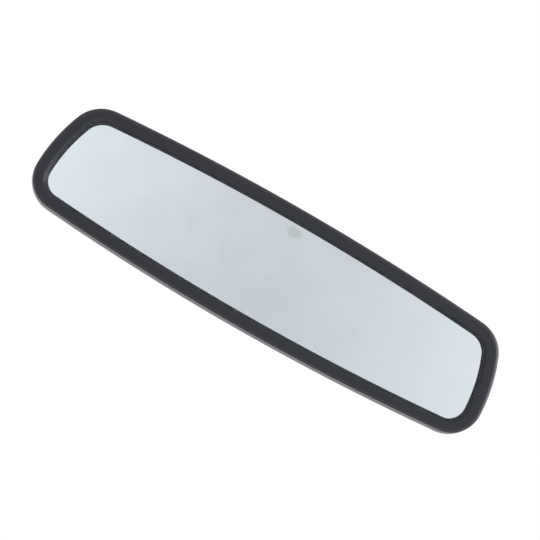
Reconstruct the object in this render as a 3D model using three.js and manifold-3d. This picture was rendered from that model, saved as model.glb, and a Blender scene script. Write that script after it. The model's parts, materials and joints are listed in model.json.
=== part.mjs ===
// Interior rearview mirror: an auto-dimming mirror head on a double-ball arm, hung from a
// dovetail bracket that is locked to a button bonded on the windscreen.
//
// Frame, in millimetres: the origin is the middle of the button's face that is bonded to the
// glass. +Z is up, +Y points forward out of the car, and +X is to the right for the driver,
// who looks along +Y into the mirror.
//
// Three local frames are used. The bracket's has +Z out of the windscreen and +Y down its
// slope. The arm's has +Y along the arm, from the head's ball up to the bracket's ball. The
// head's is upright, with Y = 0 just in front of the mirror glass.

import * as THREE from "three";
import { mergeVertices } from "three/addons/utils/BufferGeometryUtils.js";
import Module from "manifold-3d";

const wasm = await Module();
wasm.setup();

const degrees = THREE.MathUtils.degToRad;

// ---------------------------------------------------------------- driving dimensions

const WINDSCREEN_RAKE = degrees(30); // the windscreen's slope, from horizontal
const ARM_RISE = degrees(8); // the arm's slope at rest
const BRACKET_STUD_RISE = degrees(28); // slope of the bracket's ball stud
const HEAD_STUD_RISE = degrees(4); // slope of the head's ball stud

// Outline of the mirror head, and of the opening in its bezel: five tangent arcs on each side
// of the middle.
const HEAD = {
  halfWidth: 127.5,
  topZ: 34.2,
  bottomZ: -34.35,
  topRadius: 1380,
  bottomRadius: 1337,
  sideRadius: 87.5,
  sideCentreZ: -13.5,
  upperCornerRadius: 18.8,
  lowerCornerRadius: 17.5,
};
const OPENING = {
  halfWidth: 119.2,
  topZ: 26.1,
  bottomZ: -26.2,
  topRadius: 1360,
  bottomRadius: 1362,
  sideRadius: 85.3,
  sideCentreZ: -15.3,
  upperCornerRadius: 11,
  lowerCornerRadius: 8.95,
};

// Depths in the head, along its own Y.
const BEZEL_FRONT = -2.4;
const BEZEL_BACK = 9.3;
const LIP_BACK = 0.8;
const GLASS_OVERLAP = 2.5; // how far the glass reaches behind the lip
const FRONT_GLASS = [1, 2.6];
const CELL_GAP = [2.65, 2.95];
const REAR_GLASS = [3, 4.6];
const FOAM = [4.8, 6.4];
const CARRIER = [6.5, 8.2];
const BOARD = [10.5, 12.1];
const SHELL_RIM = 9.6;
const SHELL_BACK = 26;
const SHELL_WALL = 2.2;
const BOSS_BACK = 29.5;
const HEAD_BALL_DEPTH = 42.8;

// Ball joints, the same at both ends of the arm.
const BALL_RADIUS = 8.5;
const NECK_RADIUS = 3.6;
const LINER_INNER = 8.8;
const LINER_OUTER = 9.7;
const POCKET_RADIUS = 10.1;
const HOUSING_RADIUS = 11.6;
const MOUTH_ANGLE = 62; // degrees from the arm's axis to the lip that keeps the ball in
const ARM_HALF_LENGTH = 21;
const ARM_BORE = 6.6;
const ARM_WAIST = 8.6;
const SEAT_RADIUS = 6.3;
const SEAT_BACK = 11.6; // from the ball's centre to the face that the spring pushes on

// Bracket and button on the windscreen.
const BUTTON_LENGTH = 22;
const BUTTON_THICKNESS = 4.5;
const BUTTON_GLASS_HALF = 6.4;
const BUTTON_FRONT_HALF = 8.4;
const BRACKET_HALF_WIDTH = 11.5;
const BRACKET_UPPER_END = -16;
const BRACKET_LOWER_END = 14;
const BRACKET_FACE = -9.5;
const BRACKET_STAND_OFF = 0.6;
const CHANNEL_CLEARANCE = 0.3;
const BRACKET_STUD_FOOT_Y = -1;
const BRACKET_STUD_LENGTH = 14.5;
const SET_SCREW_Y = 9.2;

// Things on the circuit board, as [x, z].
const GLARE_SENSOR_AT = [0.55, 21.6];
const AMBIENT_SENSOR_AT = [-38, 6];
const CONNECTOR_AT = [38, 3];
const CLIP_WIRE_X = -30;
const BOARD_SCREW_X = 61;
const CARRIER_SCREWS_AT = [
  [-88, 13],
  [88, 13],
  [-88, -13],
  [88, -13],
];
const STUD_SCREW_CIRCLE = 10.4;

const ROUND = 20; // sides of a round piece
const SMALL_ROUND = 12; // sides of a screw, a post or a small hole

// ---------------------------------------------------------------- materials

const material = (color, roughness, metalness = 0) =>
  new THREE.MeshStandardMaterial({ color, roughness, metalness });

const softBlack = material(0x3a3b40, 0.55);
const shellBlack = material(0x2c2d31, 0.6);
const carrierGrey = material(0x55585c, 0.65);
const clearGlass = material(0xd5dfe4, 0.05);
const mirrorSilver = material(0xccd6da, 0.03, 1);
const gelClear = material(0xc9d6d2, 0.1);
const sealEpoxy = material(0xb9b7a4, 0.5);
const foamBlack = material(0x1d1d1f, 0.95);
const clipMetal = material(0xb98a4d, 0.35, 1);
const boardGreen = material(0x1f5a3a, 0.5);
const chipBlack = material(0x18181a, 0.4);
const canMetal = material(0xb9bcc0, 0.35, 1);
const connectorWhite = material(0xe2ded2, 0.5);
const pinMetal = material(0xc8b06a, 0.3, 1);
const wireRed = material(0x9c2a24, 0.5);
const lensClear = material(0xdfe3e2, 0.1);
const screwSteel = material(0x8d9094, 0.4, 1);
const springSteel = material(0x9a9da0, 0.35, 1);
const nylonWhite = material(0xd9d6cc, 0.5);
const castBlack = material(0x232427, 0.45, 0.6);
const buttonMetal = material(0x9b9c9e, 0.5, 1);

// ---------------------------------------------------------------- solid helpers

// Makes one closed, outward-facing geometry of shared vertices.
function closedGeometry(positions, triangles) {
  const raw = new THREE.BufferGeometry();
  raw.setAttribute("position", new THREE.Float32BufferAttribute(positions, 3));
  raw.setIndex(triangles);
  const merged = mergeVertices(raw, 1e-3);
  const at = merged.attributes.position;
  const index = merged.index.array;
  const kept = [];
  let volume = 0;
  const [a, b, c] = [new THREE.Vector3(), new THREE.Vector3(), new THREE.Vector3()];
  for (let i = 0; i < index.length; i += 3) {
    const [p, q, r] = [index[i], index[i + 1], index[i + 2]];
    if (p === q || q === r || r === p) continue;
    kept.push(p, q, r);
    a.fromBufferAttribute(at, p);
    b.fromBufferAttribute(at, q);
    c.fromBufferAttribute(at, r);
    volume += a.dot(b.cross(c));
  }
  if (volume < 0) kept.reverse();
  merged.setIndex(kept);
  return merged;
}

// A skin through rings that all have the same number of points. With a cap outline, in the
// rings' own two dimensions, both ends are closed by it. Without one the last ring joins the
// first, as in a picture frame.
function skin(rings, cap) {
  const n = rings[0].length;
  const positions = rings.flat().flatMap((p) => [p.x, p.y, p.z]);
  const triangles = [];
  const spans = cap ? rings.length - 1 : rings.length;
  for (let k = 0; k < spans; k++) {
    const here = k * n;
    const next = ((k + 1) % rings.length) * n;
    for (let i = 0; i < n; i++) {
      const j = (i + 1) % n;
      triangles.push(here + i, next + i, here + j, here + j, next + i, next + j);
    }
  }
  if (cap) {
    const last = (rings.length - 1) * n;
    for (const [p, q, r] of THREE.ShapeUtils.triangulateShape(cap, [])) {
      triangles.push(p, q, r, last + p, last + r, last + q);
    }
  }
  return closedGeometry(positions, triangles);
}

function toSolid(geometry) {
  const bare = geometry.clone();
  bare.deleteAttribute("normal");
  bare.deleteAttribute("uv");
  const merged = mergeVertices(bare, 1e-3);
  return new wasm.Manifold(
    new wasm.Mesh({
      numProp: 3,
      vertProperties: merged.attributes.position.array,
      triVerts: new Uint32Array(merged.index.array),
    }),
  );
}

function fromSolid(solid) {
  const mesh = solid.getMesh();
  const geometry = new THREE.BufferGeometry();
  geometry.setAttribute("position", new THREE.BufferAttribute(mesh.vertProperties, 3));
  geometry.setIndex(new THREE.BufferAttribute(mesh.triVerts, 1));
  return geometry;
}

// The first geometry, with the joined ones added and then the cut ones taken away.
function shaped(base, joined, cuts) {
  let solid = toSolid(base);
  for (const g of joined) solid = solid.add(toSolid(g));
  for (const g of cuts) solid = solid.subtract(toSolid(g));
  return fromSolid(solid);
}

// A round bar or hole along Y.
function rod(radius, [y0, y1], [x, z], sides = ROUND, endRadius = radius) {
  const g = new THREE.CylinderGeometry(endRadius, radius, y1 - y0, sides);
  return g.translate(x, (y0 + y1) / 2, z);
}

// A box given by its middle in X and Z, its size there, and its two ends in Y.
function block([x, z], [width, height], [y0, y1]) {
  return new THREE.BoxGeometry(width, y1 - y0, height).translate(x, (y0 + y1) / 2, z);
}

// An oval bar or hole along Y.
function oval([x, z], [halfWidth, halfHeight], [y0, y1]) {
  const g = new THREE.CylinderGeometry(1, 1, y1 - y0, ROUND);
  return g.scale(halfWidth, 1, halfHeight).translate(x, (y0 + y1) / 2, z);
}

const turned = (points, sides = ROUND) =>
  new THREE.LatheGeometry(
    points.map(([r, y]) => new THREE.Vector2(r, y)),
    sides,
  );

// Points [radius, y] on an arc about [0, centreY], by angles in degrees from +Y.
function polarArc(centreY, radius, from, to, steps) {
  return Array.from({ length: steps + 1 }, (_, i) => {
    const angle = degrees(from + ((to - from) * i) / steps);
    return [radius * Math.sin(angle), centreY + radius * Math.cos(angle)];
  });
}

// ---------------------------------------------------------------- outlines

// The centre of a corner arc that touches a long arc and the side arc from inside.
function cornerCentre(longCentre, longRadius, sideCentre, sideRadius, corner, upward) {
  const r1 = longRadius - corner;
  const r2 = sideRadius - corner;
  const between = new THREE.Vector2().subVectors(sideCentre, longCentre);
  const d = between.length();
  const along = (r1 * r1 - r2 * r2 + d * d) / (2 * d);
  const aside = Math.sqrt(r1 * r1 - along * along);
  between.normalize();
  const normal = new THREE.Vector2(between.y, -between.x).multiplyScalar(upward);
  return longCentre.clone().addScaledVector(between, along).addScaledVector(normal, aside);
}

const directionOf = (from, to) => Math.atan2(to.y - from.y, to.x - from.x);

// The five arcs of the right half, anticlockwise from the bottom's middle to the top's.
function rightArcs(o) {
  const top = new THREE.Vector2(0, o.topZ - o.topRadius);
  const bottom = new THREE.Vector2(0, o.bottomZ + o.bottomRadius);
  const side = new THREE.Vector2(o.halfWidth - o.sideRadius, o.sideCentreZ);
  const upper = cornerCentre(top, o.topRadius, side, o.sideRadius, o.upperCornerRadius, 1);
  const lower = cornerCentre(bottom, o.bottomRadius, side, o.sideRadius, o.lowerCornerRadius, -1);
  const turns = [
    -Math.PI / 2,
    directionOf(bottom, lower),
    directionOf(side, lower),
    directionOf(side, upper),
    directionOf(top, upper),
    Math.PI / 2,
  ];
  const arcs = [
    { centre: bottom, radius: o.bottomRadius, steps: 4 },
    { centre: lower, radius: o.lowerCornerRadius, steps: 6 },
    { centre: side, radius: o.sideRadius, steps: 3 },
    { centre: upper, radius: o.upperCornerRadius, steps: 5 },
    { centre: top, radius: o.topRadius, steps: 4 },
  ];
  return arcs.map((arc, k) => ({ ...arc, from: turns[k], to: turns[k + 1] }));
}

// An outline moved in by an inset, as Vector2s in X and Z, anticlockwise from the bottom
// middle. Each point also carries its share of the way from the middle to an end, for the
// shell's spine.
function outline(shape, inset) {
  const arcs = rightArcs(shape);
  const right = [];
  arcs.forEach(({ centre, radius, from, to, steps }, k) => {
    for (let i = k ? 1 : 0; i <= steps; i++) {
      const angle = from + ((to - from) * i) / steps;
      const p = new THREE.Vector2(
        centre.x + (radius - inset) * Math.cos(angle),
        centre.y + (radius - inset) * Math.sin(angle),
      );
      p.share = k === 0 ? i / steps : k === arcs.length - 1 ? 1 - i / steps : 1;
      right.push(p);
    }
  });
  const left = right.slice(1, -1).reverse();
  return [
    ...right,
    ...left.map((p) => Object.assign(new THREE.Vector2(-p.x, p.y), { share: -p.share })),
  ];
}

const ringOf = (points, y) => points.map((p) => new THREE.Vector3(p.x, y, p.y));
const headRing = (inset, y) => ringOf(outline(HEAD, inset), y);
const openingRing = (inset, y) => ringOf(outline(OPENING, inset), y);

// A flat plate of an outline.
function plate(shape, inset, [y0, y1]) {
  const points = outline(shape, inset);
  return skin([ringOf(points, y0), ringOf(points, y1)], points);
}

// ---------------------------------------------------------------- bezel and glass

const BEZEL_WALL = 2.3;
const BEZEL_WIDEST = 6;
const CREASE = [1.2, -1.5]; // inset and depth of the edge where the outer wall meets the face
const LIP_EDGE = -0.3;
const POCKET_OVERLAP = 3.6; // how far the pocket for the glass and its clips reaches behind the lip
const POCKET_BACK = 5.6;

// A frame with a drafted outer wall and a broad, slightly crowned face that turns over into the
// opening.
function bezel() {
  const head = outline(HEAD, 0);
  const opening = outline(OPENING, 0);
  const crest = head.map((p, i) => p.clone().lerp(opening[i], 0.5));
  return skin([
    headRing(0.3, BEZEL_BACK),
    headRing(0, BEZEL_WIDEST),
    headRing(0.3 * CREASE[0], 3.3),
    headRing(0.7 * CREASE[0], 0.5),
    headRing(...CREASE),
    headRing(CREASE[0] + 0.8, -2),
    ringOf(crest, BEZEL_FRONT),
    openingRing(-2, -2.1),
    openingRing(-0.8, -1.4),
    openingRing(0, LIP_EDGE),
    openingRing(0, LIP_BACK),
    openingRing(-POCKET_OVERLAP, LIP_BACK),
    openingRing(-POCKET_OVERLAP, POCKET_BACK),
    headRing(BEZEL_WALL, BEZEL_WIDEST),
    headRing(BEZEL_WALL, BEZEL_BACK),
  ]);
}

const frontGlass = () => plate(OPENING, -GLASS_OVERLAP, FRONT_GLASS);
const rearMirrorGlass = () => plate(OPENING, -GLASS_OVERLAP, REAR_GLASS);

const SEAL_OUTER = -2.1;
const SEAL_INNER = -0.3;

// The bead that closes the gap between the two plates.
function edgeSeal() {
  return skin([
    openingRing(SEAL_OUTER, CELL_GAP[0]),
    openingRing(SEAL_INNER, CELL_GAP[0]),
    openingRing(SEAL_INNER, CELL_GAP[1]),
    openingRing(SEAL_OUTER, CELL_GAP[1]),
  ]);
}

const electrochromicGel = () => plate(OPENING, SEAL_INNER + 0.15, CELL_GAP);

const CLIP_THICKNESS = 0.35;
const CLIP_FINGER = [CELL_GAP[0] + 0.05, CELL_GAP[1] - 0.05];
const CLIP_FLANGE = [REAR_GLASS[1] + 0.15, REAR_GLASS[1] + 0.15 + CLIP_THICKNESS];
const CLIP_HALF_LENGTH = 92;
const CLIP_REACH = 3.1; // of the flange over the glass, from the glass's edge
const FINGER_REACH = 0.25;

// The C-shaped strip that feeds one long edge of the glass: a web outside the edge, a flange
// behind the rear glass and a short finger between the two plates.
function busClip(arc, middleAngle) {
  const glassEdge = arc.radius + GLASS_OVERLAP;
  const web = glassEdge + 0.2;
  const section = [
    [web + CLIP_THICKNESS, CLIP_FLANGE[1]],
    [glassEdge - CLIP_REACH, CLIP_FLANGE[1]],
    [glassEdge - CLIP_REACH, CLIP_FLANGE[0]],
    [web, CLIP_FLANGE[0]],
    [web, CLIP_FINGER[1]],
    [glassEdge - FINGER_REACH, CLIP_FINGER[1]],
    [glassEdge - FINGER_REACH, CLIP_FINGER[0]],
    [web + CLIP_THICKNESS, CLIP_FINGER[0]],
  ].map(([radius, y]) => new THREE.Vector2(radius, y));
  const steps = 6;
  const rings = Array.from({ length: steps + 1 }, (_, i) => {
    const angle = middleAngle + (((2 * i) / steps - 1) * CLIP_HALF_LENGTH) / arc.radius;
    return section.map(
      (s) =>
        new THREE.Vector3(
          arc.centre.x + s.x * Math.cos(angle),
          s.y,
          arc.centre.y + s.x * Math.sin(angle),
        ),
    );
  });
  return skin(rings, section);
}

// A thin lead from a clip's flange back through the carrier's notch to the board.
function clipWire(upward) {
  const path = new THREE.CatmullRomCurve3(
    [
      [CLIP_FLANGE[1] + 0.6, 27],
      [7.6, 27.2],
      [9.5, 25.8],
      [9.8, 21.5],
      [9.7, 16.5],
    ].map(([y, z]) => new THREE.Vector3(CLIP_WIRE_X, y, upward * z)),
  );
  const section = new THREE.Shape().absarc(0, 0, 0.5, 0, 2 * Math.PI);
  return new THREE.ExtrudeGeometry(section, { extrudePath: path, steps: 10, curveSegments: 4 });
}

// ---------------------------------------------------------------- carrier and circuit board

const SENSOR_OVAL = [3.4, 2.4];
const SENSOR_CLEARANCE = 0.5;
const sensorHole = (span) =>
  oval(
    GLARE_SENSOR_AT,
    SENSOR_OVAL.map((r) => r + SENSOR_CLEARANCE),
    span,
  );

const foamPad = () =>
  shaped(plate(OPENING, 1.1, FOAM), [], [sensorHole([FOAM[0] - 1, FOAM[1] + 1])]);

const SCREW = { head: 2.5, shank: 1.2, hole: 1.6 };
const BOARD_POST_Y = [CARRIER[1] - 0.5, BOARD[0] - 0.1];
const CARRIER_BOSS_BACK = 9.6;
const CARRIER_POCKET = 7.9;

function carrierPlate() {
  const ribs = [];
  for (const side of [-1, 1]) {
    for (const x of [76, 100]) {
      ribs.push(block([side * x, -2], [1.4, 40], [CARRIER[1] - 0.3, CARRIER[1] + 1.3]));
    }
    ribs.push(block([0, side * 21.5], [208, 1.4], [CARRIER[1] - 0.3, CARRIER[1] + 0.8]));
  }
  const posts = [-BOARD_SCREW_X, BOARD_SCREW_X].map((x) => rod(3, BOARD_POST_Y, [x, 0], SMALL_ROUND));
  const bosses = CARRIER_SCREWS_AT.map((at) =>
    rod(4.2, [CARRIER[1] - 0.5, CARRIER_BOSS_BACK], at, SMALL_ROUND),
  );
  const holes = [
    ...CARRIER_SCREWS_AT.flatMap((at) => [
      rod(SCREW.head + 0.5, [CARRIER[0] - 1, CARRIER_POCKET], at, SMALL_ROUND),
      rod(SCREW.hole, [CARRIER_POCKET - 1, CARRIER_BOSS_BACK + 1], at, SMALL_ROUND),
    ]),
    ...[-BOARD_SCREW_X, BOARD_SCREW_X].map((x) =>
      rod(SCREW.hole, [CARRIER[0] + 0.6, BOARD[0] + 1], [x, 0], SMALL_ROUND),
    ),
    sensorHole([CARRIER[0] - 1, CARRIER[1] + 3]),
    ...[-1, 1].map((side) => block([CLIP_WIRE_X, side * 28.5], [3, 7], [CARRIER[0] - 1, 12])),
  ];
  return shaped(plate(HEAD, 2.8, CARRIER), [...ribs, ...posts, ...bosses], holes);
}

// A pan-head screw along Y: headDirection is -1 where the head is in front of the shank.
function panScrew([x, z], headFace, length, headDirection) {
  const headHeight = 1.1;
  const slotDepth = 0.6;
  const y = (offset) => headFace - headDirection * offset;
  const ordered = (a, b) => (a < b ? [a, b] : [b, a]);
  const head = rod(SCREW.head, ordered(y(0), y(headHeight)), [x, z], SMALL_ROUND);
  const shank = rod(SCREW.shank, ordered(y(headHeight - 0.2), y(length)), [x, z], SMALL_ROUND);
  const slots = [
    [0.7, 3],
    [3, 0.7],
  ].map((size) => block([x, z], size, ordered(y(-1), y(slotDepth))));
  return shaped(head, [shank], slots);
}

const BOARD_HALF = [66, 18];

function circuitBoard() {
  const main = block([0, 0], [2 * BOARD_HALF[0], 2 * BOARD_HALF[1]], BOARD);
  const tongue = block([GLARE_SENSOR_AT[0], 18], [22, 15], BOARD);
  const holes = [-BOARD_SCREW_X, BOARD_SCREW_X].map((x) =>
    rod(SCREW.hole, [BOARD[0] - 1, BOARD[1] + 1], [x, 0], SMALL_ROUND),
  );
  return shaped(main, [tongue], holes);
}

const FRONT_OF_BOARD = BOARD[0] - 0.05;
const BEHIND_BOARD = BOARD[1] + 0.05;

// A flat package with short leads along two sides, standing behind the board.
function leadedChip([x, z], [width, height], thickness, leads) {
  const body = block([x, z], [width, height], [BEHIND_BOARD + 0.2, BEHIND_BOARD + thickness]);
  const legs = [];
  for (let i = 0; i < leads; i++) {
    const legX = x + (width * (i + 0.5)) / leads - width / 2;
    legs.push(block([legX, z], [0.5, height + 2], [BEHIND_BOARD, BEHIND_BOARD + 0.5]));
  }
  return shaped(body, legs, []);
}

function capacitor(at) {
  const base = block(at, [6.6, 6.6], [BEHIND_BOARD, BEHIND_BOARD + 1.2]);
  return shaped(base, [rod(3.1, [BEHIND_BOARD + 1, BEHIND_BOARD + 6], at)], []);
}

const HEADER_OUTER = [15, 9];
const HEADER_CAVITY = [12.6, 6.6];
const HEADER_FLOOR = 15.2;
const HEADER_BACK = 25;
const PIN_PITCH = 3.6;
const PIN_TIP = 19.4;

function connectorHeader() {
  const outside = block(CONNECTOR_AT, HEADER_OUTER, [BEHIND_BOARD, HEADER_BACK]);
  const cavity = block(CONNECTOR_AT, HEADER_CAVITY, [HEADER_FLOOR, HEADER_BACK + 1]);
  const keyway = block(
    [CONNECTOR_AT[0], CONNECTOR_AT[1] + HEADER_CAVITY[1] / 2],
    [3, 1.4],
    [HEADER_FLOOR + 3, HEADER_BACK + 1],
  );
  const pinHoles = [-1, 0, 1].map((k) =>
    block(
      [CONNECTOR_AT[0] + k * PIN_PITCH, CONNECTOR_AT[1]],
      [1.6, 1.6],
      [BEHIND_BOARD - 1, HEADER_FLOOR + 1],
    ),
  );
  return shaped(outside, [], [cavity, keyway, ...pinHoles]);
}

const connectorPin = (k) =>
  block(
    [CONNECTOR_AT[0] + k * PIN_PITCH, CONNECTOR_AT[1]],
    [0.9, 0.9],
    [BEHIND_BOARD + 0.1, PIN_TIP],
  );

// ---------------------------------------------------------------- rear shell

const SPINE_HALF = 92; // half the length of the ridge that the shell's back closes on
const SHELL_STEPS = [0, 0.05, 0.14, 0.3, 0.52, 0.76, 1];
const SHELL_FULLNESS = 2.6; // exponent of the back's cross-section: 2 is an ellipse
const SHELL_WALL_END = 12;

// Rings of the shell's crowned back, from the straight wall to the ridge.
function crown(inset, back) {
  const rim = outline(HEAD, inset);
  return SHELL_STEPS.map((s) => {
    const rise = (1 - (1 - s) ** SHELL_FULLNESS) ** (1 / SHELL_FULLNESS);
    return rim.map((p) => {
      const spineX = p.share * SPINE_HALF;
      return new THREE.Vector3(
        p.x + (spineX - p.x) * s,
        SHELL_WALL_END + (back - SHELL_WALL_END) * rise,
        p.y * (1 - s),
      );
    });
  });
}

const POST_RADIUS = 3.4;
const SHELL_POST_FRONT = 9.9;
const FLANGE_SEAT = SHELL_BACK - SHELL_WALL;
const LENS_RADIUS = 3.4;

function rearShell() {
  const cup = skin(
    [
      ...crown(SHELL_WALL + 0.5, SHELL_BACK - SHELL_WALL).reverse(),
      headRing(4.3, SHELL_RIM + 1),
      headRing(4.3, 8.5),
      headRing(2.7, 8.5),
      headRing(2.7, SHELL_RIM),
      headRing(0.5, SHELL_RIM),
      ...crown(0.3, SHELL_BACK),
    ],
    outline(HEAD, 0),
  );
  const posts = CARRIER_SCREWS_AT.map((at) => rod(POST_RADIUS, [SHELL_POST_FRONT, 23], at, SMALL_ROUND));
  const boss = rod(19, [SHELL_BACK - 4, BOSS_BACK], [0, 0], 32, 15);
  const seat = rod(15, [FLANGE_SEAT - 6, FLANGE_SEAT], [0, 0], 32);
  const neckHole = rod(8, [FLANGE_SEAT - 1, BOSS_BACK + 1], [0, 1.2], 32);
  const flangeScrewHoles = studScrewPlaces().map((at) =>
    rod(SCREW.hole, [FLANGE_SEAT - 1, BOSS_BACK - 1], at, SMALL_ROUND),
  );
  const postHoles = CARRIER_SCREWS_AT.map((at) =>
    rod(SCREW.hole, [SHELL_POST_FRONT - 1, 18], at, SMALL_ROUND),
  );
  const lensHole = rod(LENS_RADIUS + 0.4, [18, SHELL_BACK + 2], AMBIENT_SENSOR_AT);
  const connectorPort = block(
    CONNECTOR_AT,
    HEADER_OUTER.map((side) => side + 0.8),
    [18, SHELL_BACK + 2],
  );
  return shaped(
    cup,
    [...posts, boss],
    [seat, neckHole, ...flangeScrewHoles, ...postHoles, lensHole, connectorPort],
  );
}

// ---------------------------------------------------------------- ball studs

const STUD_ARC_STEPS = 8;

// Ball and neck in one turned piece along Y: the ball's centre is at 0 and the neck runs
// towards -Y to the given length, widening at its foot.
function ballAndNeck(length, footRadius) {
  const neckAngle = 180 - THREE.MathUtils.radToDeg(Math.asin(NECK_RADIUS / BALL_RADIUS));
  return turned([
    ...polarArc(0, BALL_RADIUS, 0, neckAngle, STUD_ARC_STEPS).map(([r, y], i) => [i ? r : 0, y]),
    [NECK_RADIUS, -length + 4],
    [footRadius, -length + 1.2],
    [footRadius, -length],
    [0, -length],
  ].reverse());
}

const FLANGE_RADIUS = 14;
const FLANGE = [FLANGE_SEAT - 3.2, FLANGE_SEAT - 0.2];
const HEAD_STUD_LENGTH = (HEAD_BALL_DEPTH - FLANGE[1]) / Math.cos(HEAD_STUD_RISE);
const HEAD_BALL = new THREE.Vector3(
  0,
  HEAD_BALL_DEPTH,
  HEAD_STUD_LENGTH * Math.sin(HEAD_STUD_RISE),
);

function studScrewPlaces() {
  return [90, 210, 330].map((angle) => [
    STUD_SCREW_CIRCLE * Math.cos(degrees(angle)),
    STUD_SCREW_CIRCLE * Math.sin(degrees(angle)),
  ]);
}

function headBallStud() {
  const flange = rod(FLANGE_RADIUS, FLANGE, [0, 0], 32);
  const stud = ballAndNeck(HEAD_STUD_LENGTH + 1.2, 5.2)
    .rotateX(HEAD_STUD_RISE)
    .translate(0, HEAD_BALL.y, HEAD_BALL.z);
  const holes = studScrewPlaces().map((at) =>
    rod(SCREW.hole, [FLANGE[0] - 1, FLANGE[1] + 1], at, SMALL_ROUND),
  );
  return shaped(flange, [stud], holes);
}

// ---------------------------------------------------------------- arm

// The tube is swaged over a ball at each end; its bore guides the spring and its seats.
function armTube() {
  const backAngle = 180 - THREE.MathUtils.radToDeg(Math.asin(ARM_BORE / POCKET_RADIUS));
  const waistAngle = 180 - THREE.MathUtils.radToDeg(Math.asin(ARM_WAIST / HOUSING_RADIUS));
  const outerHalf = [
    ...polarArc(ARM_HALF_LENGTH, HOUSING_RADIUS, waistAngle, MOUTH_ANGLE + 4, 6),
    ...polarArc(ARM_HALF_LENGTH, POCKET_RADIUS + 0.7, MOUTH_ANGLE, MOUTH_ANGLE, 1).slice(1),
  ];
  const innerHalf = polarArc(ARM_HALF_LENGTH, POCKET_RADIUS, MOUTH_ANGLE, backAngle, 7);
  const half = [...outerHalf, ...innerHalf];
  const mirrored = half.map(([r, y]) => [r, -y]).reverse();
  return turned([...half, ...mirrored, half[0]]);
}

// A nylon ring between the ball and the swaged end, with its middle on the ball's centre.
function ballLiner(ballY, outward) {
  const arcs = [
    ...polarArc(0, LINER_OUTER, 65, 100, 3),
    ...polarArc(0, LINER_INNER, 100, 65, 3),
  ];
  const profile = [...arcs, arcs[0]].map(([r, y]) => [r, ballY + outward * y]);
  return turned(outward > 0 ? profile.reverse() : profile);
}

// The cup that the spring pushes against the ball.
function springSeat(ballY, outward) {
  const rimAngle = THREE.MathUtils.radToDeg(Math.asin(SEAT_RADIUS / LINER_INNER));
  const hollow = polarArc(0, LINER_INNER, 180 - rimAngle, 160, 4);
  const innerRadius = hollow[hollow.length - 1][0];
  const ring = [
    ...hollow,
    [innerRadius, -SEAT_BACK - 1.6],
    [innerRadius + 0.6, -SEAT_BACK - 1.6],
    [innerRadius + 0.6, -SEAT_BACK],
    [SEAT_RADIUS, -SEAT_BACK],
  ];
  const profile = [...ring, ring[0]].map(([r, y]) => [r, ballY + outward * y]);
  return turned(outward > 0 ? profile : profile.reverse());
}

const SPRING_RADIUS = 5.1;
const SPRING_WIRE = 0.65;
const SPRING_TURNS = 5;

class Helix extends THREE.Curve {
  constructor(radius, halfLength, turns) {
    super();
    Object.assign(this, { radius, halfLength, turns });
  }

  getPoint(t, target = new THREE.Vector3()) {
    const angle = 2 * Math.PI * this.turns * t;
    return target.set(
      this.radius * Math.cos(angle),
      this.halfLength * (2 * t - 1),
      this.radius * Math.sin(angle),
    );
  }
}

function armSpring() {
  const halfLength = ARM_HALF_LENGTH - SEAT_BACK - SPRING_WIRE - 0.3;
  return new THREE.ExtrudeGeometry(
    new THREE.Shape().absarc(0, 0, SPRING_WIRE, 0, 2 * Math.PI),
    {
      extrudePath: new Helix(SPRING_RADIUS, halfLength, SPRING_TURNS),
      steps: SPRING_TURNS * 12,
      curveSegments: 3,
    },
  );
}

// ---------------------------------------------------------------- bracket

// A prism along the bracket's Y of an outline in X and Z.
function slopePrism(points, [y0, y1]) {
  const shape = new THREE.Shape(points.map(([x, z]) => new THREE.Vector2(x, -z)));
  const g = new THREE.ExtrudeGeometry(shape, { depth: y1 - y0, bevelEnabled: false });
  return g.rotateX(-Math.PI / 2).translate(0, y0, 0);
}

// Half-widths of the dovetail at the glass and at the button's front, with a clearance.
function dovetail(clearance, top) {
  const slope = (BUTTON_FRONT_HALF - BUTTON_GLASS_HALF) / BUTTON_THICKNESS;
  const floor = BUTTON_THICKNESS + clearance;
  const nearGlass = BUTTON_GLASS_HALF + clearance - slope * top;
  const atFloor = BUTTON_FRONT_HALF + clearance + slope * clearance;
  return [
    [-nearGlass, top],
    [-atFloor, -floor],
    [atFloor, -floor],
    [nearGlass, top],
  ];
}

const BUTTON_Y = [-BUTTON_LENGTH / 2, BUTTON_LENGTH / 2];

const windscreenButton = () => slopePrism(dovetail(0, 0), BUTTON_Y);

function mountBracket() {
  const w = BRACKET_HALF_WIDTH;
  const body = slopePrism(
    [
      [-w, -BRACKET_STAND_OFF],
      [-w, BRACKET_FACE + 3],
      [-w + 3, BRACKET_FACE],
      [w - 3, BRACKET_FACE],
      [w, BRACKET_FACE + 3],
      [w, -BRACKET_STAND_OFF],
    ],
    [BRACKET_UPPER_END, BRACKET_LOWER_END],
  );
  const channel = slopePrism(dovetail(CHANNEL_CLEARANCE, 1), [
    BUTTON_Y[0] - CHANNEL_CLEARANCE,
    BRACKET_LOWER_END + 1,
  ]);
  const along = new THREE.CylinderGeometry(2.4, 2.4, 8, ROUND).rotateX(Math.PI / 2);
  const screwHole = along.translate(0, SET_SCREW_Y, BRACKET_FACE + 2);
  const shankHole = new THREE.CylinderGeometry(4, 4, 3.2, ROUND)
    .rotateX(Math.PI / 2)
    .translate(0, BRACKET_STUD_FOOT_Y, BRACKET_FACE + 0.6);
  return shaped(body, [], [channel, screwHole, shankHole]);
}

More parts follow.
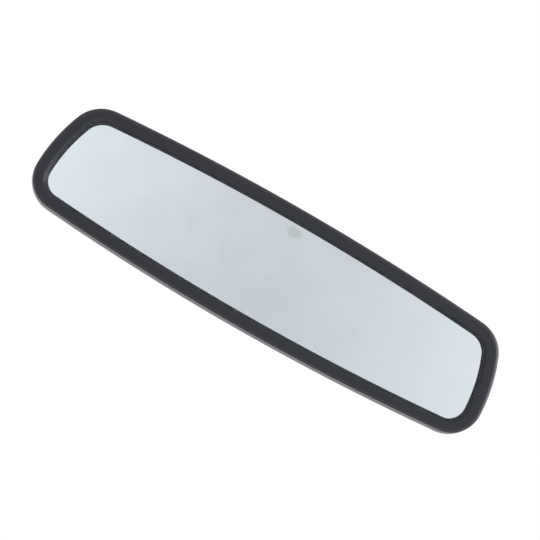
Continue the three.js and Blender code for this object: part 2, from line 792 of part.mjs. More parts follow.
function setScrew() {
  const radius = 2;
  const top = -BUTTON_THICKNESS - 0.1;
  const bottom = BRACKET_FACE - 0.4;
  const body = new THREE.CylinderGeometry(radius, radius, top - bottom, SMALL_ROUND);
  body.rotateX(Math.PI / 2).translate(0, SET_SCREW_Y, (top + bottom) / 2);
  const socket = new THREE.CylinderGeometry(1.1, 1.1, 4, 6);
  socket.rotateX(Math.PI / 2).translate(0, SET_SCREW_Y, bottom);
  return shaped(body, [], [socket]);
}

// From the bracket's frame to the windscreen's slope the stud leans by the sum of the angles.
const STUD_LEAN = BRACKET_STUD_RISE + WINDSCREEN_RAKE;
const BRACKET_BALL = new THREE.Vector3(
  0,
  BRACKET_STUD_FOOT_Y - BRACKET_STUD_LENGTH * Math.cos(STUD_LEAN),
  BRACKET_FACE - BRACKET_STUD_LENGTH * Math.sin(STUD_LEAN),
);

function bracketBallStud() {
  const stud = ballAndNeck(BRACKET_STUD_LENGTH + 0.4, 5.2);
  stud.rotateX(STUD_LEAN + Math.PI).translate(0, BRACKET_BALL.y, BRACKET_BALL.z);
  const spigot = new THREE.CylinderGeometry(3.6, 3.6, 5.5, ROUND)
    .rotateX(Math.PI / 2)
    .translate(0, BRACKET_STUD_FOOT_Y, BRACKET_FACE - 0.9);
  const above = new THREE.BoxGeometry(20, 20, 20).translate(0, 0, BRACKET_FACE + 9.9);
  const trimmed = fromSolid(toSolid(stud).subtract(toSolid(above)));
  return shaped(trimmed, [spigot], []);
}

// ---------------------------------------------------------------- assembly

const mirror = new THREE.Group();
const bracketFrame = new THREE.Group();
bracketFrame.rotation.x = -WINDSCREEN_RAKE;
mirror.add(bracketFrame);

const bracketBall = BRACKET_BALL.clone().applyEuler(bracketFrame.rotation);
const armDirection = new THREE.Vector3(0, Math.cos(ARM_RISE), Math.sin(ARM_RISE));
const armFrame = new THREE.Group();
armFrame.rotation.x = ARM_RISE;
armFrame.position.copy(bracketBall).addScaledVector(armDirection, -ARM_HALF_LENGTH);
mirror.add(armFrame);

const headFrame = new THREE.Group();
headFrame.position
  .copy(bracketBall)
  .addScaledVector(armDirection, -2 * ARM_HALF_LENGTH)
  .sub(HEAD_BALL);
mirror.add(headFrame);

function add(frame, name, geometry, look) {
  const mesh = new THREE.Mesh(geometry, look);
  mesh.name = name;
  frame.add(mesh);
}

add(bracketFrame, "windscreen_button", windscreenButton(), buttonMetal);
add(bracketFrame, "mount_bracket", mountBracket(), castBlack);
add(bracketFrame, "bracket_ball_stud", bracketBallStud(), screwSteel);
add(bracketFrame, "set_screw", setScrew(), screwSteel);

add(armFrame, "bracket_ball_liner", ballLiner(ARM_HALF_LENGTH, 1), nylonWhite);
add(armFrame, "arm_tube", armTube(), castBlack);
add(armFrame, "arm_spring", armSpring(), springSteel);
add(armFrame, "bracket_spring_seat", springSeat(ARM_HALF_LENGTH, 1), nylonWhite);
add(armFrame, "head_spring_seat", springSeat(-ARM_HALF_LENGTH, -1), nylonWhite);
add(armFrame, "head_ball_liner", ballLiner(-ARM_HALF_LENGTH, -1), nylonWhite);

add(headFrame, "bezel", bezel(), softBlack);
add(headFrame, "front_glass", frontGlass(), clearGlass);
add(headFrame, "edge_seal", edgeSeal(), sealEpoxy);
add(headFrame, "electrochromic_gel", electrochromicGel(), gelClear);
add(headFrame, "rear_mirror_glass", rearMirrorGlass(), mirrorSilver);
const openingArcs = rightArcs(OPENING);
const [bottomArc, topArc] = [openingArcs[0], openingArcs.at(-1)];
add(headFrame, "upper_bus_clip", busClip(topArc, Math.PI / 2), clipMetal);
add(headFrame, "lower_bus_clip", busClip(bottomArc, -Math.PI / 2), clipMetal);
add(headFrame, "upper_clip_wire", clipWire(1), wireRed);
add(headFrame, "lower_clip_wire", clipWire(-1), wireRed);
add(headFrame, "foam_pad", foamPad(), foamBlack);
add(headFrame, "carrier_plate", carrierPlate(), carrierGrey);
add(headFrame, "circuit_board", circuitBoard(), boardGreen);

const glareSensor = block(GLARE_SENSOR_AT, [4.4, 3.4], [FRONT_OF_BOARD - 1.3, FRONT_OF_BOARD]);
const glarePipe = oval(GLARE_SENSOR_AT, SENSOR_OVAL, [REAR_GLASS[1] + 0.1, 8.9]);
add(headFrame, "glare_sensor", glareSensor, chipBlack);
add(headFrame, "glare_light_pipe", glarePipe, lensClear);

const ambientSensor = block(AMBIENT_SENSOR_AT, [4, 4], [BEHIND_BOARD, BEHIND_BOARD + 1.4]);
const ambientPipe = turned([
  [0, 14],
  [2.6, 14],
  [LENS_RADIUS, 23.5],
  [LENS_RADIUS, 25.4],
  [2.4, 26.2],
  [0, 26.5],
]).translate(AMBIENT_SENSOR_AT[0], 0, AMBIENT_SENSOR_AT[1]);
add(headFrame, "ambient_sensor", ambientSensor, chipBlack);
add(headFrame, "ambient_lens", ambientPipe, lensClear);

add(headFrame, "microcontroller", leadedChip([-12, -4], [8, 7], 1.5, 5), chipBlack);
add(headFrame, "drive_transistor", leadedChip([-27, -10], [6, 6], 2.3, 3), chipBlack);
[20, 28].forEach((x, i) => add(headFrame, `capacitor_${i + 1}`, capacitor([x, -11]), canMetal));
add(headFrame, "connector_header", connectorHeader(), connectorWhite);
[-1, 0, 1].forEach((k, i) =>
  add(headFrame, `connector_pin_${i + 1}`, connectorPin(k), pinMetal),
);
[-BOARD_SCREW_X, BOARD_SCREW_X].forEach((x, i) =>
  add(headFrame, `board_screw_${i + 1}`, panScrew([x, 0], BOARD[1] + 1.2, 5, 1), screwSteel),
);
CARRIER_SCREWS_AT.forEach((at, i) =>
  add(headFrame, `carrier_screw_${i + 1}`, panScrew(at, CARRIER[0] + 0.25, 10, -1), screwSteel),
);
add(headFrame, "rear_shell", rearShell(), shellBlack);
add(headFrame, "head_ball_stud", headBallStud(), screwSteel);
studScrewPlaces().forEach((at, i) =>
  add(headFrame, `stud_screw_${i + 1}`, panScrew(at, FLANGE[0] - 1.2, 7.2, -1), screwSteel),
);

export default mirror;
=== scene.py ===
# An auto-dimming interior rearview mirror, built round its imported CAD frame.
#
# Shapes are made in millimetres in the frame of the group they belong to, as in the CAD, and
# placed in the row frame in metres. The head's frame is upright with Y = 0 just in front of
# the mirror glass, the arm's has +Y along the arm, and the bracket's has +Z out of the
# windscreen.

import json
import math

import bmesh
import bpy
from mathutils import Matrix, Vector
from mathutils.geometry import tessellate_polygon


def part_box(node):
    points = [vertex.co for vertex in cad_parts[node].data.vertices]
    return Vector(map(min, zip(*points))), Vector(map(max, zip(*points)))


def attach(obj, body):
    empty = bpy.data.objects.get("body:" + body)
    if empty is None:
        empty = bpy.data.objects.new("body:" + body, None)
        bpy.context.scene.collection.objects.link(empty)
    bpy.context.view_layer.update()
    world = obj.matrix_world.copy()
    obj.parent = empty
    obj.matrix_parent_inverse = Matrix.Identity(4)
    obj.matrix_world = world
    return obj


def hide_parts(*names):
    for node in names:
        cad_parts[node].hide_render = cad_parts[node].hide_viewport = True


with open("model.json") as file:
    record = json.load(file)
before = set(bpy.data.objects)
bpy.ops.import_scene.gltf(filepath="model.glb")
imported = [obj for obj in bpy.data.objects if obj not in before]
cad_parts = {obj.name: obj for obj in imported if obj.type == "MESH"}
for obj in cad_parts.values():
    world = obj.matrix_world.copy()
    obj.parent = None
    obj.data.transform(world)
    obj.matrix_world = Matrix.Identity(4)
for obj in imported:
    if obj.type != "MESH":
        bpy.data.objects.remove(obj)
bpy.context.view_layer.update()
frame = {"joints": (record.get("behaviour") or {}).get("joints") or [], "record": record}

MM = 0.001
RECORD = frame["record"]
JOINTS = {joint["name"]: joint for joint in frame["joints"]}
BODY_OF = {n: body for body, nodes in RECORD["behaviour"]["bodies"].items() for n in nodes}
SLOT_OF = {part["node"]: part["material_slot"] for part in RECORD["subparts"]}

# ---------- driving dimensions, in mm

HEAD = {
    "half_width": 127.5, "top": 34.2, "bottom": -34.35, "top_radius": 1380, "bottom_radius": 1337,
    "side_radius": 87.5, "side_centre": -13.5, "upper_corner": 18.8, "lower_corner": 17.5,
}
OPENING = {
    "half_width": 119.2, "top": 26.1, "bottom": -26.2, "top_radius": 1360, "bottom_radius": 1362,
    "side_radius": 85.3, "side_centre": -15.3, "upper_corner": 11, "lower_corner": 8.95,
}
ARC_STEPS = (26, 18, 14, 16, 26)  # bottom, lower corner, side, upper corner, top

# Depths in the head, along its own Y. A pair is a piece's front and back.
BEZEL_FRONT = -2.4
BEZEL_BACK = 9.3
LIP_BACK = 0.8
GLASS_OVERLAP = 2.5
FRONT_GLASS = (1.0, 2.6)
CELL_GAP = (2.65, 2.95)
REAR_GLASS = (3.0, 4.6)
FOAM = (4.8, 6.4)
SHELL_RIM = 9.6
SHELL_BACK = 26
SHELL_WALL = 2.2
SHELL_WALL_END = 12
SHELL_FULLNESS = 2.6  # exponent of the back's cross-section: 2 is an ellipse
SPINE_HALF = 92  # half the length of the ridge that the back closes on
BOSS_BACK = 29.5
FLANGE_SEAT = SHELL_BACK - SHELL_WALL

# Places in the head as (x, z), and the glare window's radii.
GLARE_SENSOR_AT = (0.55, 21.6)
GLARE_WINDOW = (4.5, 3.0)
AMBIENT_SENSOR_AT = (-38, 6)
CONNECTOR_AT = (38, 3)

BALL_RADIUS = 8.5
NECK_RADIUS = 3.6
LINER_INNER = 8.8
LINER_OUTER = 9.7
POCKET_RADIUS = 10.1
HOUSING_RADIUS = 11.6
MOUTH_ANGLE = 62  # degrees from the arm's axis to the lip that keeps the ball in
ARM_HALF_LENGTH = 21
ARM_BORE = 6.6
ARM_WAIST = 8.6
SEAT_RADIUS = 6.3
SEAT_BACK = 11.6  # from the ball's centre to the face that the spring pushes on
ROUND = 96  # sides of a turned piece

# ---------- the three local frames


def slope_of(direction):
    return math.atan2(direction[2], direction[1])


UPPER_BALL = Vector(JOINTS["arm_raise"]["pos_m"])
LOWER_BALL = Vector(JOINTS["head_tilt"]["pos_m"])
ARM_RISE = slope_of(JOINTS["head_twist"]["axis"])
RAKE = math.pi / 2 - slope_of(RECORD["mounts"][0]["axis"])

HEAD_ORIGIN = Vector((
    0,
    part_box("bezel")[0].y - BEZEL_FRONT * MM,
    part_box("bezel")[1].z - HEAD["top"] * MM,
))
HEAD_PLACE = Matrix.Translation(HEAD_ORIGIN)
ARM_PLACE = Matrix.Translation((UPPER_BALL + LOWER_BALL) / 2) @ Matrix.Rotation(ARM_RISE, 4, "X")
BRACKET_PLACE = Matrix.Rotation(-RAKE, 4, "X")


def in_head(x, y, z):
    """A point of the head's frame, from mm to the row frame's metres."""
    return HEAD_PLACE @ Vector((x * MM, y * MM, z * MM))


# ---------- mesh helpers


def mesh_object(name, vertices, faces, place=HEAD_PLACE, smooth=35):
    """A closed mesh from points in mm; edges sharper than smooth degrees stay sharp."""
    mesh = bpy.data.meshes.new(name)
    mesh.from_pydata([place @ (Vector(v) * MM) for v in vertices], [], faces)
    work = bmesh.new()
    work.from_mesh(mesh)
    bmesh.ops.remove_doubles(work, verts=work.verts, dist=1e-7)
    bmesh.ops.recalc_face_normals(work, faces=work.faces)
    work.to_mesh(mesh)
    work.free()
    shade(mesh, smooth)
    obj = bpy.data.objects.new(name, mesh)
    bpy.context.scene.collection.objects.link(obj)
    return obj


def shade(mesh, smooth):
    mesh.polygons.foreach_set("use_smooth", [smooth > 0] * len(mesh.polygons))
    if smooth > 0:
        mesh.set_sharp_from_angle(angle=math.radians(smooth))


def skin(rings, ends, closed_rings=True):
    """Vertices and faces of a skin through rings: ends is "caps", "joined" or "open"."""
    n = len(rings[0])
    vertices = [p for ring in rings for p in ring]
    faces = []
    for k in range(len(rings) if ends == "joined" else len(rings) - 1):
        here = k * n
        after = (k + 1) % len(rings) * n
        for i in range(n if closed_rings else n - 1):
            j = (i + 1) % n
            faces.append((here + i, after + i, after + j, here + j))
    if ends == "caps":
        last = (len(rings) - 1) * n
        faces += [tuple(range(n)), tuple(range(last, last + n))]
    return vertices, faces


def loft(name, rings, ends="caps", place=HEAD_PLACE, smooth=35):
    return mesh_object(name, *skin(rings, ends), place, smooth)


def lathe(name, profile, place=HEAD_PLACE, closed=False, centre=(0, 0), sides=ROUND, smooth=35):
    """A turned piece about the local Y through centre, from (radius, y) points."""
    x, z = centre
    rings = []
    for k in range(sides):
        turn = 2 * math.pi * k / sides
        rings.append([(x + r * math.cos(turn), y, z + r * math.sin(turn)) for r, y in profile])
    return mesh_object(name, *skin(rings, "joined", closed), place, smooth)


def arc(centre, radius, start, stop, steps):
    """Points (radius, y) on an arc about (r, y) = centre; angles in degrees from +Y."""
    points = []
    for i in range(steps + 1):
        angle = math.radians(start + (stop - start) * i / steps)
        points.append((centre[0] + radius * math.sin(angle), centre[1] + radius * math.cos(angle)))
    return points


def polar(centre, radius, angle):
    """The one point of such an arc at an angle, as a list."""
    return arc(centre, radius, angle, angle, 1)[:1]


def sweep(name, path, radius, place=HEAD_PLACE, sides=16):
    """A round wire with flat ends along a path of points."""
    points = [Vector(p) for p in path]
    side = None
    rings = []
    for i, p in enumerate(points):
        tangent = (points[min(i + 1, len(points) - 1)] - points[max(i - 1, 0)]).normalized()
        if side is None:
            side = tangent.orthogonal().normalized()
        side = (side - tangent * side.dot(tangent)).normalized()
        other = tangent.cross(side)
        rings.append([
            p + (side * math.cos(t) + other * math.sin(t)) * radius
            for t in (2 * math.pi * k / sides for k in range(sides))
        ])
    return loft(name, rings, place=place, smooth=50)


def rounded_rectangle(centre, size, radius, steps=6):
    """Points (x, z) of a rectangle with round corners, anticlockwise."""
    points = []
    for quarter, (sx, sz) in enumerate(((1, 1), (-1, 1), (-1, -1), (1, -1))):
        cx = centre[0] + sx * (size[0] / 2 - radius)
        cz = centre[1] + sz * (size[1] / 2 - radius)
        for i in range(steps + 1):
            angle = math.pi / 2 * (quarter + i / steps)
            points.append((cx + radius * math.cos(angle), cz + radius * math.sin(angle)))
    return points


def oval(centre, radii, steps=48):
    return [
        (centre[0] + radii[0] * math.cos(t), centre[1] + radii[1] * math.sin(t))
        for t in (2 * math.pi * k / steps for k in range(steps))
    ]


def at_depth(points, y):
    return [(x, y, z) for x, z in points]


def prism(name, points, span, edge=0.0, place=HEAD_PLACE, smooth=35):
    """A plate or bar along local Y of an outline in x and z, with eased ends."""
    y0, y1 = span
    middle = Vector([sum(axis) / len(points) for axis in zip(*points)])

    def shrunk(by, y):
        ring = []
        for p in points:
            reach = Vector(p) - middle
            eased = middle + reach * (1 - by / max(reach.length, by + 1e-6))
            ring.append((eased.x, y, eased.y))
        return ring

    rings = [shrunk(0, y0), shrunk(0, y1)]
    if edge > 0:
        rings = [shrunk(edge, y0), shrunk(0, y0 + edge), shrunk(0, y1 - edge), shrunk(edge, y1)]
    return loft(name, rings, place=place, smooth=smooth)


def bored(name, radius, span, at, sides=48):
    """A round bar or hole along Y."""
    y0, y1 = span
    return lathe(name, [(0, y0), (radius, y0), (radius, y1), (0, y1)], centre=at, sides=sides)


def bored_each(name, radius, span, places):
    return [bored(name, radius, span, at) for at in places]


def bar(name, middle, size, span, radius=0.4, steps=4, edge=0.1):
    """A rectangular bar or hole along Y with round corners."""
    return prism(name, rounded_rectangle(middle, size, radius, steps), span, edge)


def tapered(name, at, sections, radius, steps=2, smooth=35):
    """A rectangular bar along Y through sections of (width, height, y)."""
    rings = [at_depth(rounded_rectangle(at, size, radius, steps), y) for *size, y in sections]
    return loft(name, rings, smooth=smooth)


def combine(base, joined=(), cut=(), smooth=35):
    """Joins pieces to base and cuts others from it, then removes them."""
    for others, operation in ((joined, "UNION"), (cut, "DIFFERENCE")):
        for other in others:
            modifier = base.modifiers.new(operation, "BOOLEAN")
            modifier.object = other
            modifier.operation = operation
            modifier.solver = "MANIFOLD"
    bpy.context.view_layer.update()
    graph = bpy.context.evaluated_depsgraph_get()
    mesh = bpy.data.meshes.new_from_object(base.evaluated_get(graph))
    base.modifiers.clear()
    base.data = mesh
    mesh.name = base.name
    mesh.materials.clear()
    shade(mesh, smooth)
    for other in (*joined, *cut):
        bpy.data.objects.remove(other)
    return base


# ---------- outlines of head and opening


def corner_centre(long_centre, long_radius, side_centre, side_radius, corner, upward):
    between = side_centre - long_centre
    distance = between.length
    r1 = long_radius - corner
    r2 = side_radius - corner
    along = (r1 * r1 - r2 * r2 + distance * distance) / (2 * distance)
    aside = math.sqrt(r1 * r1 - along * along)
    between.normalize()
    normal = Vector((between.y, -between.x)) * upward
    return long_centre + between * along + normal * aside


def direction(start, end):
    return math.atan2(end.y - start.y, end.x - start.x)


def right_arcs(shape):
    """The five arcs of the right half, from the bottom's middle to the top's."""
    top = Vector((0, shape["top"] - shape["top_radius"]))
    bottom = Vector((0, shape["bottom"] + shape["bottom_radius"]))
    side = Vector((shape["half_width"] - shape["side_radius"], shape["side_centre"]))
    side_radius = shape["side_radius"]
    upper = corner_centre(top, shape["top_radius"], side, side_radius, shape["upper_corner"], 1)
    lower_corner = shape["lower_corner"]
    lower = corner_centre(bottom, shape["bottom_radius"], side, side_radius, lower_corner, -1)
    turns = (
        -math.pi / 2, direction(bottom, lower), direction(side, lower),
        direction(side, upper), direction(top, upper), math.pi / 2,
    )
    centres = (bottom, lower, side, upper, top)
    radii = (shape["bottom_radius"], shape["lower_corner"], side_radius, shape["upper_corner"],
             shape["top_radius"])
    return list(zip(centres, radii, turns, turns[1:]))


def outline(shape, inset):
    """Points (x, z, share) anticlockwise; share is how far along the shell's spine each one is."""
    right = []
    for k, ((centre, radius, start, stop), steps) in enumerate(zip(right_arcs(shape), ARC_STEPS)):
        for i in range(1 if k else 0, steps + 1):
            angle = start + (stop - start) * i / steps
            share = {0: i / steps, len(ARC_STEPS) - 1: 1 - i / steps}.get(k, 1)
            right.append((
                centre.x + (radius - inset) * math.cos(angle),
                centre.y + (radius - inset) * math.sin(angle),
                share,
            ))
    return right + [(-x, z, -share) for x, z, share in reversed(right[1:-1])]


def ring(shape, inset, y):
    return [(x, y, z) for x, z, _ in outline(shape, inset)]


def eased_rings(shape, inset, span, edge):
    """Rings of a plate along Y whose sharp edges are taken off."""
    y0, y1 = span
    ends = ((edge, y0), (0, y0 + edge), (0, y1 - edge), (edge, y1))
    return [ring(shape, inset + more, y) for more, y in ends]


def lip_ring(share, y):
    """A ring on the lip, from the head's outline at share 0 to the opening's at share 1."""
    outer = outline(HEAD, 0)
    inner = outline(OPENING, 0)
    return [
        (a[0] + (b[0] - a[0]) * share, y, a[1] + (b[1] - a[1]) * share)
        for a, b in zip(outer, inner)
    ]


# ---------- materials


MIX_LOW, MIX_HIGH, MIX_RESULT = 6, 7, 2  # the Mix node's sockets for colours


class Nodes:
    """A node tree, built up by short calls. Underscores in keywords stand for spaces."""

    def __init__(self, tree):
        self.tree = tree
        tree.nodes.clear()

    def feed(self, socket, value):
        if isinstance(value, bpy.types.NodeSocket):
            self.tree.links.new(value, socket)
        else:
            socket.default_value = value

    def fill(self, node, inputs):
        for name, value in inputs.items():
            self.feed(node.inputs[name.replace("_", " ")], value)
        return node

    def node(self, kind, **inputs):
        return self.fill(self.tree.nodes.new(f"ShaderNode{kind}"), inputs)

    def ranged(self, value, low, high, span=(0.3, 0.7)):
        """Eases from low to high as the value crosses the span."""
        start, stop = span
        node = self.node("MapRange", Value=value, From_Min=start, From_Max=stop, To_Min=low, To_Max=high)
        node.interpolation_type = "SMOOTHSTEP"
        return node.outputs[0]


class Shader(Nodes):
    """One material."""

    def __init__(self, name):
        self.name = name
        self.material = bpy.data.materials.new(name)
        self.material.use_nodes = True
        super().__init__(self.material.node_tree)
        self.surface = self.node("BsdfPrincipled")
        self.node("OutputMaterial", Surface=self.surface.outputs[0])
        self.place = self.node("TexCoord").outputs["Object"]

    def set(self, **values):
        self.fill(self.surface, values)
        return self

    def stretched(self, scale):
        return self.node("Mapping", Vector=self.place, Scale=scale).outputs[0]

    def noise(self, scale, detail=3, stretch=(1, 1, 1)):
        node = self.node("TexNoise", Scale=scale, Detail=detail, Vector=self.stretched(stretch))
        return node.outputs["Fac"]

    def cells(self, scale):
        return self.node("TexVoronoi", Scale=scale, Vector=self.place).outputs["Distance"]

    def colour(self, value, low, high, span=(0.3, 0.7)):
        node = self.node("Mix")
        node.data_type = "RGBA"
        self.feed(node.inputs[0], self.ranged(value, 0, 1, span))
        self.feed(node.inputs[MIX_LOW], (*low, 1))
        self.feed(node.inputs[MIX_HIGH], (*high, 1))
        return self.set(Base_Color=node.outputs[MIX_RESULT])

    def rough(self, value, low, high):
        return self.set(Roughness=self.ranged(value, low, high))

    def bump(self, *layers):
        """Layers of (height, depth in mm)."""
        below = {}
        for height, depth in layers:
            node = self.node("Bump", Distance=depth * MM, Height=height, **below)
            below = {"Normal": node.outputs[0]}
        return self.set(**below)


def varied(colour, by):
    return tuple(channel * (1 + by) for channel in colour)


def moulded(name, colour, roughness, grain_mm, depth_mm, variation=0.08):
    """Moulded plastic with a fine pebble grain and slight unevenness of gloss."""
    s = Shader(name)
    s.colour(s.noise(900 / grain_mm, 2), varied(colour, -variation), varied(colour, variation))
    s.rough(s.noise(60), roughness - 0.015, roughness + 0.015)
    return s.bump((s.cells(1000 / grain_mm), depth_mm), (s.noise(400 / grain_mm), depth_mm / 2))


def metal(name, colour, roughness, stretch=(1, 1, 1), depth_mm=0.004, scale=2500):
    """Bare or plated metal with fine drawn or ground marks."""
    s = Shader(name).set(Metallic=1.0)
    marks = s.noise(scale, 4, stretch)
    s.colour(s.noise(220), varied(colour, -0.1), varied(colour, 0.08))
    s.rough(marks, roughness - 0.08, roughness + 0.1)
    return s.bump((marks, depth_mm))


def clear(name, colour, roughness, ior):
    s = Shader(name).set(Transmission_Weight=1.0, IOR=ior)
    s.colour(s.noise(40), varied(colour, -0.01), colour)
    return s.rough(s.noise(90), roughness, roughness + 0.01)


MIRROR_TINT = (0.84, 0.872, 0.949)
WINDOW_TINT = (0.71, 0.755, 0.785)
WINDOW_FADE = (0.72, 1.0)  # from the window's middle to its rim, where its tint fades


def mirror_layer():
    """Silvered glass: a very slightly uneven reflector."""
    s = Shader("mirror_glass").set(Metallic=1.0)
    s.colour(s.noise(9), varied(MIRROR_TINT, -0.006), varied(MIRROR_TINT, 0.006))
    return s.rough(s.noise(25), 0.02, 0.03)


def glare_window_layer():
    """The half-transparent coating in front of the glare sensor, fading out at its rim."""
    s = Shader("glare_window").set(Metallic=1.0)
    centre = in_head(GLARE_SENSOR_AT[0], 0, GLARE_SENSOR_AT[1])
    across, up = (1 / (radius * MM) for radius in GLARE_WINDOW)
    from_centre = (-centre.x * across, 0, -centre.z * up)
    moved = s.node("Mapping", Vector=s.place, Location=from_centre, Scale=(across, 0, up))
    length = s.node("VectorMath")
    length.operation = "LENGTH"
    s.feed(length.inputs[0], moved.outputs[0])
    s.colour(length.outputs["Value"], WINDOW_TINT, MIRROR_TINT, WINDOW_FADE)
    return s.rough(s.noise(60), 0.03, 0.05)


def board_laminate():
    """Green solder mask over copper tracks."""
    s = Shader("board_laminate").set(IOR=1.5, Coat_Weight=0.3, Coat_Roughness=0.15)
    node = s.node("TexBrick", Scale=260, Mortar_Size=0.06, Vector=s.stretched((1, 1, 1)))
    tracks = node.outputs["Fac"]
    s.colour(tracks, (0.010, 0.085, 0.036), (0.022, 0.16, 0.062), (0.2, 0.8))
    return s.rough(s.noise(300), 0.32, 0.42).bump((tracks, 0.03))


def foam_layer():
    s = Shader("foam").set(Specular_IOR_Level=0.2)
    pores = s.cells(2600)
    s.colour(pores, (0.008, 0.008, 0.009), (0.03, 0.03, 0.032), (0.0, 0.6))
    return s.rough(pores, 0.85, 0.98).bump((pores, 0.15))


def painted_casting():
    """Satin black powder coat with its orange-peel skin over a die casting."""
    s = Shader("arm_paint").set(Coat_Weight=0.25, Coat_Roughness=0.3)
    peel = s.noise(1400, 2)
    s.colour(s.noise(80), (0.012, 0.012, 0.0135), (0.02, 0.02, 0.022))
    return s.rough(s.noise(700), 0.36, 0.46).bump((peel, 0.05), (s.cells(3500), 0.02))


def material_set():
    shaders = (
        moulded("bezel_plastic", (0.0068, 0.0074, 0.0128), 0.46, 0.45, 0.012).set(
            Specular_IOR_Level=0.37, Specular_Tint=(0.93, 0.97, 1.0, 1)
        ),
        moulded("shell_plastic", (0.0105, 0.011, 0.0135), 0.55, 0.6, 0.03),
        moulded("carrier_plastic", (0.05, 0.053, 0.058), 0.5, 1.2, 0.02),
        clear("clear_glass", (0.97, 0.99, 0.985), 0.0, 1.52),
        mirror_layer(),
        clear("cell_gel", (0.975, 0.99, 0.985), 0.0, 1.002),
        moulded("seal_epoxy", (0.008, 0.008, 0.009), 0.6, 0.8, 0.02),
        foam_layer(),
        metal("bus_clip_metal", (0.60, 0.36, 0.17), 0.3, (0.05, 1, 1)),
        board_laminate(),
        moulded("chip_plastic", (0.012, 0.012, 0.013), 0.5, 0.2, 0.008),
        metal("can_metal", (0.62, 0.63, 0.65), 0.28, (1, 0.05, 1)),
        moulded("connector_plastic", (0.62, 0.59, 0.5), 0.42, 1.0, 0.01, 0.04),
        metal("pin_metal", (0.72, 0.58, 0.28), 0.22, (1, 0.05, 1)),
        moulded("wire_jacket", (0.32, 0.018, 0.014), 0.45, 0.5, 0.006),
        clear("clear_plastic", (0.93, 0.94, 0.93), 0.04, 1.49),
        metal("screw_steel", (0.52, 0.53, 0.54), 0.32, (1, 0.3, 1)),
        metal("spring_steel", (0.47, 0.47, 0.49), 0.3, (0.2, 1, 1)),
        moulded("nylon", (0.62, 0.6, 0.54), 0.4, 1.0, 0.01, 0.05),
        painted_casting(),
        metal("button_metal", (0.36, 0.36, 0.37), 0.45, (1, 1, 1), 0.02, 1600),
    )
    return {shader.name: shader.material for shader in shaders}


MATERIALS = material_set()


def paint(piece, material, chosen):
    """Gives a second material to the faces whose middle and normal are chosen."""
    piece.data.materials.append(material)
    for face in piece.data.polygons:
        if chosen(face.center, face.normal):
            face.material_index = 1


def stand_for(piece, *nodes):
    """The piece takes the place, the body and the finish of these CAD nodes."""
    slot = SLOT_OF[nodes[0]]
    piece.data.materials.append(MATERIALS[slot])
    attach(piece, BODY_OF[nodes[0]])
    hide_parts(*nodes)
    return piece


# ---------- bezel

BEZEL_WALL = 2.3
BEZEL_WIDEST = 6.0
CREASE_INSET = 1.2  # where the drafted outer wall meets the face
CREASE_Y = -1.5
WALL_STEPS = 10
WALL_CURVE = 0.85  # exponent of the wall's draft: 1 is straight
LIP_WIDTH = 8.4
LIP_STEPS = 36
FACE_START = (CREASE_INSET + 0.12) / LIP_WIDTH  # shares of the lip between which the face runs
FACE_END = 0.97
CREST = 0.45  # share of the face where it stands furthest forward
CREST_FALL = 0.12  # mm that the face falls back for each whole share from its crest
OUTER_ROUND = 0.27  # share of the face that its outer rounding takes
INNER_BEVEL = 0.7  # share of the face where the bevel to the opening starts
BEVEL_CURVE = 1.6
LIP_EDGE_Y = -0.15
POCKET_OVERLAP = 3.6  # how far the pocket for the glass and its clips reaches behind the lip
POCKET_BACK = 5.6


def face_height(share):
    """The face's y across the lip: rounded outside, nearly flat, bevelled to the opening."""
    y = BEZEL_FRONT + CREST_FALL * abs(share - CREST)
    if share < OUTER_ROUND:
        y += (CREASE_Y - BEZEL_FRONT) * ((OUTER_ROUND - share) / OUTER_ROUND) ** 2
    if share > INNER_BEVEL:
        along = (share - INNER_BEVEL) / (1 - INNER_BEVEL)
        y += (LIP_EDGE_Y - 0.3 - BEZEL_FRONT) * along ** BEVEL_CURVE
    return y


def bezel():
    wall = [(BEZEL_WALL, BEZEL_BACK), (0.6, BEZEL_BACK)]
    wall += [(0.35, 9.2), (0.25, 9.0), (0.2, 8.7), (0.05, 7)]
    for k in range(WALL_STEPS):
        forward = (BEZEL_WIDEST - CREASE_Y) * (k / WALL_STEPS) ** WALL_CURVE
        wall.append((CREASE_INSET * k / WALL_STEPS, BEZEL_WIDEST - forward))
    wall += [(CREASE_INSET - 0.06, CREASE_Y + 0.28), (CREASE_INSET, CREASE_Y + 0.05)]
    rings = [ring(HEAD, inset, y) for inset, y in wall]
    for i in range(LIP_STEPS + 1):
        across = i / LIP_STEPS
        share = FACE_START + (FACE_END - FACE_START) * across
        rings.append(lip_ring(share, face_height(across)))
    edge = [(-0.12, -0.22), (-0.05, -0.14), (-0.01, LIP_EDGE_Y), (0, 0.15), (0, 0.5), (-0.03, 0.66)]
    edge += [(-0.1, 0.75), (-0.25, LIP_BACK), (-POCKET_OVERLAP, LIP_BACK), (-POCKET_OVERLAP, POCKET_BACK)]
    rings += [ring(OPENING, inset, y) for inset, y in edge]
    rings.append(ring(HEAD, BEZEL_WALL, BEZEL_WIDEST))
    return loft("bezel_moulding", rings, "joined", smooth=50)


def paint_pocket_shade(moulding):
    """Painted shade: the pocket behind the lip is a dull black, darker than the bezel, standing in for the
    shadow in the gap round the glass.
    """
    # painted shade: a dull black coat on the pocket's faces, where the gap round the glass only lies in
    # shadow
    black = moulded("bezel_pocket_painted_shade", (0.003, 0.003, 0.0035), 0.8, 0.45, 0.01)
    black.set(Specular_IOR_Level=0.15)
    front = in_head(0, LIP_BACK - 0.2, 0).y
    back = in_head(0, POCKET_BACK + 0.1, 0).y

    def in_pocket(middle, normal):
        inward = middle.xz.normalized().dot(normal.xz) < 0.1
        return inward and front < middle.y < back

    paint(moulding, black.material, in_pocket)


# the bezel, with painted shade in the pocket behind its lip
paint_pocket_shade(stand_for(bezel(), "bezel"))

# ---------- glass, gel and seal

GROUND_EDGE = 0.2
GEL_GAP = 0.15  # from the seal to the gel
SEAL_OUTER = -2.1
SEAL_INNER = -0.3


def glass_plate(name, span):
    rings = eased_rings(OPENING, -GLASS_OVERLAP, span, GROUND_EDGE)
    return loft(name, rings, smooth=0)


